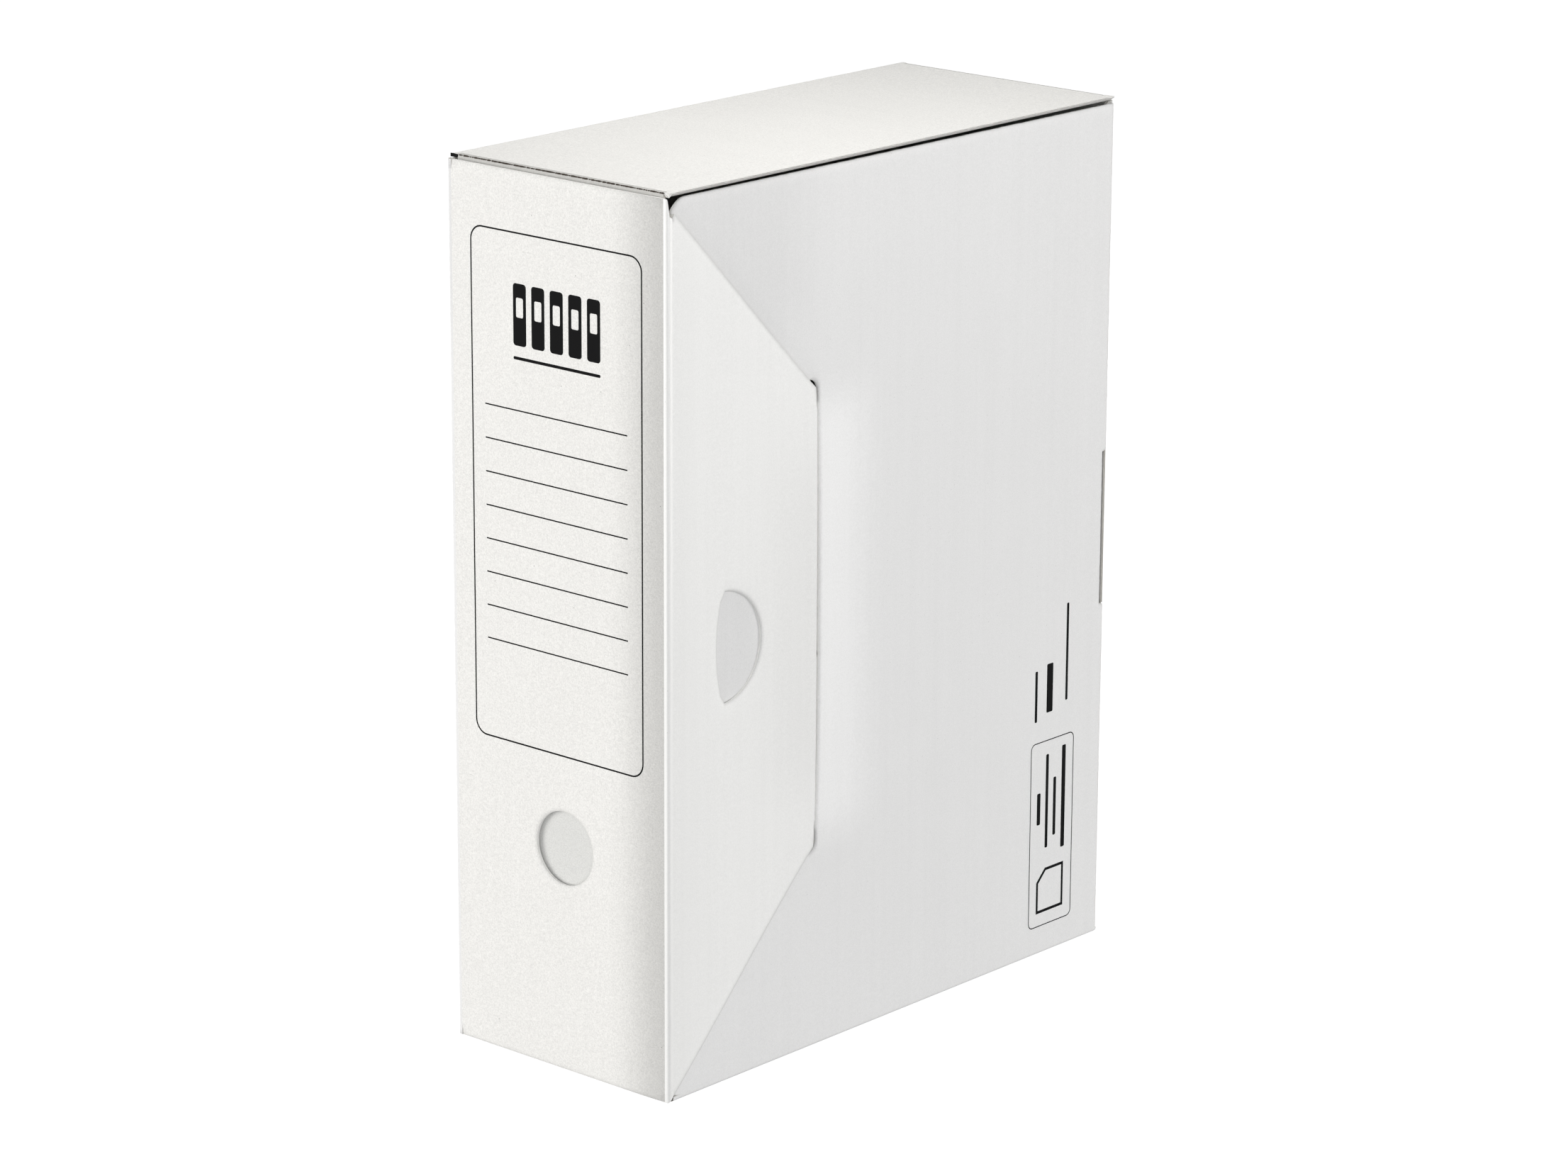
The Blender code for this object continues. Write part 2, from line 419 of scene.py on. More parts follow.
    def add_to(self, bag: Bag) -> Bag:
        """Cuts the sheet and adds it to a piece.

        Args:
            bag: The piece that it becomes part of.

        Returns:
            The same bag.
        """
        drawn, spans, cut = self._points()
        edges = [
            (i, first if i + 1 == last else i + 1) for first, last in spans for i in range(first, last)
        ]
        vectors, _, triangles, origin, _, _ = delaunay_2d_cdt(
            [Vector(point) for point in drawn], edges, [], 0, 1e-6, True
        )
        flat = np.array([tuple(vector) for vector in vectors])
        triangles = np.array(triangles)
        number = {source: i for i, sources in enumerate(origin) for source in sources}
        middle = flat[triangles].mean(1)
        triangles = triangles[inside(middle, self.starts, self.ends)]
        edge_distance = distance_to(flat, self.starts[cut], self.ends[cut])
        crush = np.clip(1.0 - edge_distance / PINCH_REACH, 0.0, 1.0) ** 2
        # Darkening near cut edges: partly greying of the crushed paper, partly painted shade along the edges.
        wear = [crush.copy(), crush.copy()]
        if self.crush:
            crush = crush * self.crush(flat[:, 0], flat[:, 1])
        relief = self.relief(flat[:, 0], flat[:, 1]) if self.relief else np.zeros(len(flat))
        outer_depth = relief + self.pinch[0] * crush
        inner_depth = relief + self.thickness - self.pinch[1] * crush
        points = [self._place(flat, outer_depth), self._place(flat, inner_depth)]
        total = len(flat)
        faces = [tuple(t) for t in triangles] + [tuple(t[::-1] + total) for t in triangles]
        layers = [Layer.OUTER.value] * len(triangles) + [Layer.INNER.value] * len(triangles)
        levels = ((0.16, 0.0), (0.24, 1.0), (0.76, 1.0), (0.84, 0.0)) if self.recess else ()
        base = 2 * total
        loop_index = np.array([number[i] for i in range(len(self.starts))])
        rows = [loop_index]
        for share, back in levels:
            spot = flat[loop_index] + self.inward * (back * self.recess * cut)[:, None]
            depth = outer_depth[loop_index] * (1 - share) + inner_depth[loop_index] * share
            points.append(self._place(spot, depth))
            wear.append(np.ones(len(loop_index)))
            rows.append(np.arange(len(loop_index)) + base)
            base += len(loop_index)
        rows.append(loop_index + total)
        for i, j in edges:
            for upper, lower in zip(rows, rows[1:]):
                faces.append((upper[j], upper[i], lower[i], lower[j]))
                layers.append(Layer.EDGE.value)
        turned = self._turned(flat, triangles)
        if turned:
            faces = [face[::-1] for face in faces]
        faces = self._face_rims(faces, len(triangles) * 2, edges, rows, triangles)
        bag.add(np.concatenate(points), faces, layers, np.concatenate(wear))
        return bag

    def _turned(self, flat: Array, triangles: Array) -> bool:
        """True if the drawing's triangles look inwards on this wall."""
        a, b, c = (flat[triangles[:, i]] for i in range(3))
        area = np.cross(b - a, c - a).sum()
        return (area > 0) != self.wall.forward

    def _face_rims(
        self,
        faces: list[tuple[int, ...]],
        first: int,
        edges: list[tuple[int, int]],
        rows: list[Array],
        triangles: Array,
    ) -> list[tuple[int, ...]]:
        """Turns the rim faces so that each shares its edge with the outer face the right way round.

        Args:
            faces: All faces.
            first: Number of the first rim face.
            edges: The rim's edges, as loop points.
            rows: Vertex numbers of each rim level.
            triangles: The outer face's triangles.

        Returns:
            The faces, with the rims corrected.
        """
        directed = {(t[i], t[(i + 1) % 3]) for t in triangles.tolist() for i in range(3)}
        strips = len(rows) - 1
        for number, (i, j) in enumerate(edges):
            runs_forward = (int(rows[0][i]), int(rows[0][j])) in directed
            if not runs_forward:
                for k in range(strips):
                    place = first + number * strips + k
                    faces[place] = faces[place][::-1]
        return faces


def film(wall: Wall, face: float, relief: Relief, shapes: Sequence[Drawing]) -> Bag:
    """Thin ink shapes that lie on a wall.

    Args:
        wall: The wall.
        face: Where its outer face is along its normal's axis.
        relief: Depth of the wall's outer face.
        shapes: The outline and the holes of each shape.

    Returns:
        All shapes, in one bag.
    """
    bag = Bag()
    for outline, holes in shapes:
        sheet = Sheet(
            wall, face, outline, holes, thickness=FILM, pinch=(0.0, 0.0), recess=0.0,
            relief=lambda u, v: relief(u, v) - FILM_LIFT,
        )
        sheet.add_to(bag)
    return bag


@dataclass
class Crease:
    """A folded corner between two walls: a strip with a round outside and a bead inside.

    Attributes:
        corner: The sharp corner that the fold rounds off.
        along_a: Direction from the corner along the first wall.
        along_b: Direction from the corner along the second wall.
        axis: Direction of the crease.
        span: Where it starts and ends along the axis.
        radius: Roundness outside.
        relief_a: Depth of the first wall's outer face at a distance from the corner.
        relief_b: The same for the second wall.
        trim: Distance taken off at both ends, from the two distances to the corner.
        bead: How far the crushed inner liner stands out in the corner.
    """

    corner: Triple
    along_a: tuple[int, int, int]
    along_b: tuple[int, int, int]
    axis: tuple[int, int, int]
    span: Pair
    radius: float = 1.25
    relief_a: Callable[[float], float] = lambda s: 0.0
    relief_b: Callable[[float], float] = lambda s: 0.0
    trim: Callable[[float, float], Pair] = lambda a, b: (0.0, 0.0)
    bead: float = 0.25
    step: float = 3.0

    def profile(self) -> tuple[list[Pair], int]:
        """The strip's section.

        Returns:
            Its points as distances along the two walls, and how many of them are outside.
        """
        near = self.radius
        wing = np.linspace(FOLD_REACH, near, 3)
        outer = [(s, self.relief_a(s)) for s in wing]
        outer_b = [(self.relief_b(s), s) for s in wing[::-1]]
        a, b = np.array(outer[-1]), np.array(outer_b[0])
        slope_a = (self.relief_a(near + 0.1) - self.relief_a(near)) / 0.1
        slope_b = (self.relief_b(near + 0.1) - self.relief_b(near)) / 0.1
        reach = 0.56 * near
        pull_a, pull_b = a - np.array((1.0, slope_a)) * reach, b - np.array((slope_b, 1.0)) * reach
        bend = []
        for t in np.linspace(0.0, 1.0, 13)[1:-1]:
            k = 1.0 - t
            bend.append(tuple(k**3 * a + 3 * k * k * t * pull_a + 3 * k * t * t * pull_b + t**3 * b))
        outside = outer + bend + outer_b
        inner_a, inner_b = self.relief_a(near) + BOARD, self.relief_b(near) + BOARD
        inside_points = [
            (self.relief_b(FOLD_REACH) + BOARD, FOLD_REACH),
            (inner_b + self.bead * 0.8, inner_a + self.bead * 1.2),
            (inner_b + self.bead * 1.2, inner_a + self.bead * 0.8),
            (FOLD_REACH, self.relief_a(FOLD_REACH) + BOARD),
        ]
        return outside + inside_points, len(outside)

    def add_to(self, bag: Bag) -> Bag:
        """Sweeps the section along the crease and adds it to a piece.

        Args:
            bag: The piece that it becomes part of.

        Returns:
            The same bag.
        """
        section, outside = self.profile()
        a, b, axis = (np.array(v, float) for v in (self.along_a, self.along_b, self.axis))
        count = max(2, round((self.span[1] - self.span[0]) / self.step)) + 1
        rows = []
        for pa, pb in section:
            low, high = self.trim(pa, pb)
            heights = np.linspace(self.span[0] + low, self.span[1] - high, count)
            rows.append(np.array(self.corner) + a * pa + b * pb + heights[:, None] * axis)
        points = np.stack(rows, 1).reshape(-1, 3)
        sides = len(section)
        faces, layers = [], []
        for i in range(count - 1):
            for k in range(sides):
                nxt = (k + 1) % sides
                faces.append((i * sides + k, i * sides + nxt, (i + 1) * sides + nxt, (i + 1) * sides + k))
                layers.append(Layer.OUTER.value if k < outside - 1 else Layer.INNER.value)
                if k in (outside - 1, sides - 1):
                    layers[-1] = Layer.EDGE.value
        bottom = tuple(range(sides))[::-1]
        top = tuple(range((count - 1) * sides, count * sides))
        faces += [bottom, top]
        layers += [Layer.EDGE.value] * 2
        if np.dot(np.cross(a, b), axis) < 0:
            faces = [face[::-1] for face in faces]
        bag.add(points, faces, layers)
        return bag


class Wire:
    """A shader socket that takes part in arithmetic."""

    def __init__(self, bench: Bench, socket: bpy.types.NodeSocket) -> None:
        """Wraps a socket of a bench's tree."""
        self.bench = bench
        self.socket = socket

    def _math(self, operation: str, first: Wire | float, second: Wire | float) -> Wire:
        """One Math node."""
        return self.bench.node("ShaderNodeMath", {"operation": operation}, {0: first, 1: second})

    def __add__(self, other: Wire | float) -> Wire:
        """This plus other."""
        return self._math("ADD", self, other)

    __radd__ = __add__

    def __sub__(self, other: Wire | float) -> Wire:
        """This minus other."""
        return self._math("SUBTRACT", self, other)

    def __rsub__(self, other: Wire | float) -> Wire:
        """Other minus this."""
        return self._math("SUBTRACT", other, self)

    def __mul__(self, other: Wire | float) -> Wire:
        """This times other."""
        return self._math("MULTIPLY", self, other)

    __rmul__ = __mul__

    def __gt__(self, other: Wire | float) -> Wire:
        """1 where this is greater than other."""
        return self._math("GREATER_THAN", self, other)

    def __lt__(self, other: Wire | float) -> Wire:
        """1 where this is less than other."""
        return self._math("LESS_THAN", self, other)


class Bench:
    """The node tree of one new material."""

    def __init__(self, name: str, roughness: float) -> None:
        """Starts a material with one Principled shader."""
        self.material = bpy.data.materials.new(name)
        self.material.use_nodes = True
        self.tree = self.material.node_tree
        self.shader = self.tree.nodes["Principled BSDF"]
        self.shader.inputs["Roughness"].default_value = roughness
        self.shader.inputs["Specular IOR Level"].default_value = 0.3
        self.place = self.node("ShaderNodeTexCoord", output="Object")

    def node(
        self,
        kind: str,
        settings: dict[str, object] | None = None,
        inputs: dict[str | int, object] | None = None,
        output: str | int = 0,
    ) -> Wire:
        """Adds a node.

        Args:
            kind: The node's type.
            settings: Its own settings, which are set first.
            inputs: A value or a wire for each input.
            output: The output to take.

        Returns:
            That output.
        """
        made = self.tree.nodes.new(kind)
        for key, value in (settings or {}).items():
            setattr(made, key, value)
        for key, value in (inputs or {}).items():
            if isinstance(value, Wire):
                self.tree.links.new(value.socket, made.inputs[key])
            else:
                made.inputs[key].default_value = value
        return Wire(self, made.outputs[output])

    def noise(self, scale: float, detail: float = 2.0, stretch: Triple | None = None) -> Wire:
        """Fractal noise on object coordinates, drawn out along an axis if stretch is given."""
        place = self.place
        if stretch:
            place = self.node("ShaderNodeMapping", {}, {"Vector": place, "Scale": stretch})
        settings = {"Vector": place, "Scale": scale, "Detail": detail, "Roughness": 0.55}
        return self.node("ShaderNodeTexNoise", {}, settings)

    def step(self, value: Wire, start: float, end: float, low: float, high: float) -> Wire:
        """A soft step of a value, from low at start to high at end."""
        settings = {"interpolation_type": "SMOOTHSTEP"}
        inputs = {"Value": value, "From Min": start, "From Max": end, "To Min": low, "To Max": high}
        return self.node("ShaderNodeMapRange", settings, inputs)

    def axis(self, number: int) -> Wire:
        """One object coordinate, in metres."""
        return self.node("ShaderNodeSeparateXYZ", {}, {0: self.place}, output=number)

    def feed(self, name: str, value: Wire) -> None:
        """Links a wire to an input of the shader."""
        self.tree.links.new(value.socket, self.shader.inputs[name])

    def tint(self, colour: Triple, tone: Wire) -> Wire:
        """A colour scaled by a tone."""
        settings = {"operation": "SCALE"}
        return self.node("ShaderNodeVectorMath", settings, {0: colour, "Scale": tone})

    def blend(self, factor: Wire, first: Wire, second: Wire | Span) -> Wire:
        """First where the factor is 0, second where it is 1."""
        settings = {"data_type": "RGBA"}
        return self.node("ShaderNodeMix", settings, {0: factor, 6: first, 7: second}, output=2)

    def bump(self, height: Wire, distance: float, strength: float) -> None:
        """Raises the surface by a height map."""
        inputs = {"Height": height, "Distance": distance, "Strength": strength}
        self.feed("Normal", self.node("ShaderNodeBump", {}, inputs))


@dataclass(frozen=True)
class Shade:
    """Painted shade across a board: its tone changes slowly along one axis, towards a fold.

    Attributes:
        axis: The coordinate that it follows.
        start: Where it starts, in millimetres.
        end: Where it is complete.
        tone: The tone there, as a share of the board's own.
    """

    axis: int
    start: float
    end: float
    tone: float


@dataclass(frozen=True)
class PaintedLightPatch:
    """A part of a wall with painted light or painted shade: lighter or darker than the board's own tone.

    Attributes:
        across: Along Y, where it starts, is full, is still full, and ends, in millimetres.
        up: The same along Z.
        tone: The tone there, as a share of the board's own.
    """

    across: Span
    up: Span
    tone: float

    def mask(self, bench: Bench) -> Wire:
        """1 on the patch, 0 away from it."""
        mask: Wire | float = 1.0
        for axis, (start, full, still, end) in ((1, self.across), (2, self.up)):
            place = bench.axis(axis)
            mask = mask * bench.step(place, start * MM, full * MM, 0.0, 1.0)
            mask = mask * bench.step(place, still * MM, end * MM, 1.0, 0.0)
        return mask


@dataclass(frozen=True)
class Liner:
    """White paper liner over fluting, the outside or inside of the board.

    Attributes:
        name: The material's name.
        colour: Base colour.
        flute_axis: The axis that the flutes run along.
        cross_axis: The axis that the flutes follow one another along.
        grain: Strength of the fibre grain.
        streak: Strength of the streaks along the flutes.
        specks: Share of the cells that hold a dark fibre speck.
        shades: Painted shade: slow changes of tone along one axis.
        patches: Parts with painted light or painted shade.
        wear: How much darker a crushed edge is, partly greying of the paper and partly painted shade.
        gloss: How much a fold is polished by handling.
        imprint: How much painted shadow lies on the wall along the outside of the closing tongue's slanting edges.
        roughness: How matt it is.
    """

    name: str
    colour: Triple
    flute_axis: int
    cross_axis: int
    grain: float = 0.05
    streak: float = 0.015
    specks: float = 0.35
    shades: tuple[Shade, ...] = ()
    patches: tuple[PaintedLightPatch, ...] = ()
    wear: float = 0.3
    gloss: float = 0.0
    imprint: float = 0.0
    roughness: float = 0.82

    def make(self) -> Material:
        """The finished material."""
        bench = Bench(self.name, self.roughness)
        stretch = [1.0, 1.0, 1.0]
        stretch[self.flute_axis] = 0.02
        fibre = bench.noise(1900.0, 4.0)
        pulp = bench.noise(820.0, 3.0)
        cloud = bench.noise(26.0, 3.0)
        streak = bench.noise(310.0, 2.0, tuple(stretch))
        tone = 1.0 + (fibre - 0.5) * (self.grain * 3.6) + (pulp - 0.5) * (self.grain * 1.0)
        tone = tone + (cloud - 0.5) * 0.035 + (streak - 0.5) * (self.streak * 2.0)
        # Painted shade: darker towards a fold.
        for shade in self.shades:
            place = bench.axis(shade.axis)
            tone = tone * bench.step(place, shade.start * MM, shade.end * MM, 1.0, shade.tone)
        # Painted light and painted shade on parts of a wall.
        for patch in self.patches:
            tone = tone * (1.0 + patch.mask(bench) * (patch.tone - 1.0))
        # Painted contact shadow along the closing tongue's slanting edges.
        if self.imprint:
            tone = tone * (1.0 - self._imprint(bench) * self.imprint)
        # Darker near cut edges, by a per-vertex attribute: partly greying of the crushed paper, partly painted shade
        # along the edges.
        worn = bench.node("ShaderNodeAttribute", {"attribute_name": "wear"}, {}, output="Fac")
        tone = tone * (1.0 - worn * self.wear)
        paper = bench.tint(self.colour, tone)
        for scale, size, share, depth in ((150.0, 0.034, self.specks, 0.85), (420.0, 0.07, self.specks, 0.4)):
            cells = {"Vector": bench.place, "Scale": scale}
            distance = bench.node("ShaderNodeTexVoronoi", {}, cells, output="Distance")
            colour = bench.node("ShaderNodeTexVoronoi", {}, cells, output="Color")
            pick = bench.node("ShaderNodeSeparateColor", {}, {0: colour})
            fleck = bench.step(distance, size, size * 0.45, 0.0, depth) * (pick < share)
            paper = bench.blend(fleck, paper, (0.16, 0.155, 0.145, 1.0))
        bench.feed("Base Color", paper)
        bench.feed("Roughness", self.roughness - 0.06 + pulp * 0.12)
        waves = bench.axis(self.cross_axis) * (2.0 * math.pi / (FLUTE_PITCH * MM))
        ripple = bench.node("ShaderNodeMath", {"operation": "SINE"}, {0: waves})
        bench.bump(fibre * 0.5 + pulp * 0.5 + ripple * 0.08 + cloud * 1.5, 0.00006, 0.5)
        if self.gloss:
            bench.shader.inputs["Coat Weight"].default_value = self.gloss
            bench.shader.inputs["Coat Roughness"].default_value = 0.34
        return bench.material

    @staticmethod
    def _imprint(bench: Bench) -> Wire:
        """1 where a painted shadow lies along the outside of the closing tongue's two slanting edges."""
        low, high = box_mm("closing_tongue")
        middle, base = (low[2] + high[2]) / 2, (high[2] - low[2]) / 2
        up = bench.node("ShaderNodeMath", {"operation": "ABSOLUTE"}, {0: bench.axis(2) - middle * MM})
        past = up + bench.axis(1) - (base + low[1]) * MM
        start = bench.step(past, -1.2 * MM, -0.4 * MM, 0.0, 1.0)
        wide = bench.step(past, 0.2 * MM, 3.2 * MM, 1.0, 0.0)
        narrow = bench.step(past, 0.1 * MM, 0.7 * MM, 0.5, 0.0)
        band = start * (wide + narrow)
        return band * (bench.axis(1) < (high[1] + 1.5) * MM)


@dataclass(frozen=True)
class CutEdge:
    """The raw edge of the board: two liners with unbleached fluting between them."""

    name: str
    colour: Triple
    roughness: float = 0.9

    def make(self) -> Material:
        """The finished material."""
        bench = Bench(self.name, self.roughness)
        fibre = bench.noise(3200.0, 4.0)
        patch = bench.noise(240.0, 2.0)
        tone = 0.86 + fibre * 0.2 + (patch - 0.5) * 0.24
        bench.feed("Base Color", bench.tint(self.colour, tone))
        bench.feed("Roughness", 0.84 + fibre * 0.12)
        bench.bump(fibre + patch * 0.6, 0.00012, 0.8)
        return bench.material


@dataclass(frozen=True)
class Ink:
    """Black flexographic ink, a little thin where the paper's fibres stand up."""

    name: str
    colour: Triple = (0.006, 0.006, 0.0065)

    def make(self) -> Material:
        """The finished material."""
        bench = Bench(self.name, 0.55)
        bench.shader.inputs["Specular IOR Level"].default_value = 0.03
        fibre = bench.noise(2600.0, 3.0)
        worn = bench.step(fibre, 0.66, 0.84, 0.0, 0.06)
        solid = bench.tint(self.colour, 0.8 + fibre * 0.4)
        bench.feed("Base Color", bench.blend(worn, solid, (0.35, 0.35, 0.34, 1.0)))
        bench.feed("Roughness", 0.48 + fibre * 0.2)
        bench.bump(fibre, 0.00002, 0.4)
        return bench.material


@dataclass
class Row:
    """A part repeated along a straight row by Geometry Nodes.

    Attributes:
        name: The finished piece's name.
        count: How many parts there are.
        pitch: Distance from one to the next.
        jitter: How much their sizes differ.
        seed: Starts the differences.
    """

    name: str
    count: int
    pitch: float
    jitter: float = 0.0
    seed: int = 3

    def _tree(self) -> tuple[bpy.types.NodeTree, dict[str, str]]:
        """Builds the tree.

        Returns:
            The tree, and the identifier of each of its inputs by name.
        """
        tree = bpy.data.node_groups.new("row_of_parts", "GeometryNodeTree")
        kinds = {
            "Part": "NodeSocketObject",
            "Count": "NodeSocketInt",
            "Pitch": "NodeSocketFloat",
            "Jitter": "NodeSocketFloat",
            "Seed": "NodeSocketInt",
            "Finish": "NodeSocketMaterial",
        }
        tree.interface.new_socket("Row", in_out="OUTPUT", socket_type="NodeSocketGeometry")
        named = {
            name: tree.interface.new_socket(name, in_out="INPUT", socket_type=kind).identifier
            for name, kind in kinds.items()
        }
        nodes = {
            key: tree.nodes.new(kind)
            for key, kind in (
                ("given", "NodeGroupInput"),
                ("offset", "ShaderNodeCombineXYZ"),
                ("line", "GeometryNodeMeshLine"),
                ("part", "GeometryNodeObjectInfo"),
                ("least", "ShaderNodeMath"),
                ("most", "ShaderNodeMath"),
                ("size", "FunctionNodeRandomValue"),
                ("spread", "GeometryNodeInstanceOnPoints"),
                ("real", "GeometryNodeRealizeInstances"),
                ("finish", "GeometryNodeSetMaterial"),
                ("result", "NodeGroupOutput"),
            )
        }
        nodes["least"].operation = "SUBTRACT"
        for key in ("least", "most"):
            nodes[key].inputs[0].default_value = 1.0
        for start, output, end, target in (
            ("given", "Pitch", "offset", "X"),
            ("offset", 0, "line", "Offset"),
            ("given", "Count", "line", "Count"),
            ("given", "Part", "part", "Object"),
            ("given", "Jitter", "least", 1),
            ("given", "Jitter", "most", 1),
            ("least", 0, "size", 2),
            ("most", 0, "size", 3),
            ("given", "Seed", "size", "Seed"),
            ("line", "Mesh", "spread", "Points"),
            ("part", "Geometry", "spread", "Instance"),
            ("size", 1, "spread", "Scale"),
            ("spread", "Instances", "real", "Geometry"),
            ("real", "Geometry", "finish", "Geometry"),
            ("given", "Finish", "finish", "Material"),
            ("finish", "Geometry", "result", "Row"),
        ):
            tree.links.new(nodes[start].outputs[output], nodes[end].inputs[target])
        return tree, named

    def make(self, part: Object, finish: Material, place: Matrix) -> Object:
        """Repeats the part and makes the row a plain mesh.

        Args:
            part: The part, at the origin; it is used up.
            finish: The material of every part.
            place: Where the row's first part goes; the row runs along its X axis.

        Returns:
            The finished piece.
        """
        tree, named = self._tree()
        carrier = linked(f"{self.name}_carrier", bpy.data.meshes.new(f"{self.name}_carrier"))
        modifier = carrier.modifiers.new("row", "NODES")
        modifier.node_group = tree
        values = {
            "Part": part,
            "Count": self.count,
            "Pitch": self.pitch * MM,
            "Jitter": self.jitter,
            "Seed": self.seed,
            "Finish": finish,
        }
        for name, value in values.items():
            modifier[named[name]] = value
        bpy.context.view_layer.update()
        evaluated = carrier.evaluated_get(bpy.context.evaluated_depsgraph_get())
        mesh = bpy.data.meshes.new_from_object(evaluated)
        mesh.transform(place)
        mesh.name = self.name
        piece = linked(self.name, mesh)
        bpy.data.objects.remove(carrier, do_unlink=True)
        bpy.data.objects.remove(part, do_unlink=True)
        return piece


def prism(name: str, section: Sequence[Pair], length: float) -> Object:
    """A small solid: a section in X and Z, in millimetres, drawn out along Y and centred there."""
    shape = bmesh.new()
    rings = [[shape.verts.new((x * MM, y * MM, z * MM)) for x, z in section] for y in (-length / 2, length / 2)]
    shape.faces.new(rings[0])
    shape.faces.new(rings[1][::-1])
    for i in range(len(section)):
        j = (i + 1) % len(section)
        shape.faces.new((rings[0][j], rings[0][i], rings[1][i], rings[1][j]))
    bmesh.ops.recalc_face_normals(shape, faces=shape.faces)
    mesh = bpy.data.meshes.new(name)
    shape.to_mesh(mesh)
    shape.free()
    return linked(name, mesh)


def axes_at(origin: Triple, along: Sequence[float], second: Sequence[float]) -> Matrix:
    """A place whose X axis runs along a row and whose Y axis points a second way.

    Args:
        origin: Where it is, in millimetres.
        along: Its X axis.
        second: Its Y axis, at right angles.

    Returns:
        The matrix, in metres.
    """
    x, y = Vector(along).normalized(), Vector(second).normalized()
    turn = Matrix((x, y, x.cross(y))).transposed().to_4x4()
    return Matrix.Translation(Vector(origin) * MM) @ turn


@dataclass
class Palette:
    """All finishes of the box, made once."""

    # The spine is painted darker towards its crease to the tongue: painted shade.
    spine: Liner = Liner(
        "spine_liner",
        (0.86, 0.853, 0.832),
        2,
        0,
        grain=0.15,
        shades=(Shade(0, 22.0, 49.5, 0.72),),
        wear=0.16,
    )
    outer: Liner = Liner("top_liner", (0.86, 0.853, 0.832), 0, 1, grain=0.14, wear=0.1)
    # The right wall: painted light on the lip behind the slit, painted shade where it shows through the thumb hole
    # and towards its top front corner, and a painted contact shadow along the tongue's slanting edges.
    side: Liner = Liner(
        "side_liner", (0.84, 0.84, 0.842), 2, 1, grain=0.055, streak=0.02, specks=0.25, wear=0.2,
        patches=(
            PaintedLightPatch((-43.9, -43.4, -36.0, -4.0), (68.0, 94.0, 226.0, 252.0), 1.12),
            PaintedLightPatch((-114.0, -90.0, -82.0, -58.0), (122.0, 152.0, 170.0, 200.0), 0.93),
            PaintedLightPatch((-124.0, -122.0, -70.0, -30.0), (245.0, 285.0, 330.0, 340.0), 0.935),
        ),
        imprint=0.09,
    )
    # The tongue's liner is paler than the right wall's: painted light. Its patches are painted shade near the slit
    # and near its crease to the spine.
    tongue: Liner = Liner(
        "tongue_liner", (0.925, 0.925, 0.917), 2, 1, grain=0.055, streak=0.02, specks=0.25,
        patches=(
            PaintedLightPatch((-84.0, -52.0, -40.0, -30.0), (84.0, 124.0, 198.0, 238.0), 0.95),
            PaintedLightPatch((-123.0, -121.0, -118.0, -104.0), (-9.0, 0.0, 330.0, 340.0), 0.985),
        ),
    )
    back: Liner = Liner("back_liner", (0.82, 0.815, 0.795), 2, 0, grain=0.12)
    left: Liner = Liner("left_liner", (0.81, 0.805, 0.79), 2, 1, grain=0.1)
    # The dust flaps' liner is darker than the board's outer liner: painted shade, as where a flap shows through the
    # finger hole.
    flap: Liner = Liner("flap_liner", (0.73, 0.732, 0.715), 0, 2, grain=0.14)
    # Much darker than the board: painted shade on the dust flaps' creases, which lie in shade below the top's front
    # edge.
    crease: Liner = Liner("crease_liner", (0.56, 0.555, 0.535), 0, 2, grain=0.1)
    inner: Liner = Liner("inner_liner", (0.70, 0.695, 0.675), 2, 0, grain=0.07, specks=0.5)
    # Paler than the spine beside it and not darkened at its edges: a painted highlight along the crest of the
    # tongue's crease, besides the coat that catches the gleam lamp.
    fold: Liner = Liner("fold_liner", (0.93, 0.93, 0.92), 2, 1, grain=0.03, gloss=0.9, wear=0.0)
    rim: CutEdge = CutEdge("hole_rim", (0.86, 0.855, 0.84))
    edge: CutEdge = CutEdge("cut_edge", (0.60, 0.585, 0.55))
    flute: CutEdge = CutEdge("flute_paper", (0.66, 0.64, 0.60))
    nick: CutEdge = CutEdge("crease_nick", (0.045, 0.034, 0.026))
    ink: Ink = Ink("print_ink")

    def make(self) -> Finishes:
        """Every material by the name of its finish."""
        return {finish.name: getattr(self, finish.name).make() for finish in fields(self)}

    @staticmethod
    def board(made: Finishes, outside: str, edge: str = "edge") -> list[Material]:
        """The three materials of a board piece: outer liner, inner liner, edge."""
        return [made[outside], made["inner"], made[edge]]


def dress(piece: Object, body: str | tuple[str, str], nodes: Sequence[str] = ()) -> Object:
    """Hangs a piece on its body and hides the CAD nodes that it replaces.

    Args:
        piece: The finished piece.
        body: The body that it rides on.
        nodes: The CAD nodes that it replaces.

    Returns:
        The piece.
    """
    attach(piece, body)
    if nodes:
        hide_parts(*nodes)
    LOG.info("%s rides on %s, %d faces", piece.name, body, len(piece.data.polygons))
    return piece


class Flex(Enum):
    """How a crease is carried: fixed to the box, or left in place between two bodies."""

    FIXED = "fixed"
    HINGE = "hinge"


def dress_crease(piece: Object, crease: Crease, bodies: tuple[str, str], slot: str) -> Object:
    """Hangs a crease on its body where both walls are on one; otherwise leaves it where it is, with its place in its
    mesh.

    Args:
        piece: The crease's mesh.
        crease: Its sizes.
        bodies: The body of each wall.
        slot: Not used.

    Returns:
        The piece.
    """
    kind = Flex.FIXED if bodies[0] == bodies[1] else Flex.HINGE
    if kind is Flex.FIXED:
        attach(piece, bodies[0])
    else:
        corner = Vector(crease.corner) * MM
        half = 0.5 * MM
        start = corner + Vector(crease.along_a) * half
        end = corner + Vector(crease.along_b) * half
        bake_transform(piece)
    LOG.info("%s bends %s, %d faces", piece.name, "-".join(bodies), len(piece.data.polygons))
    return piece


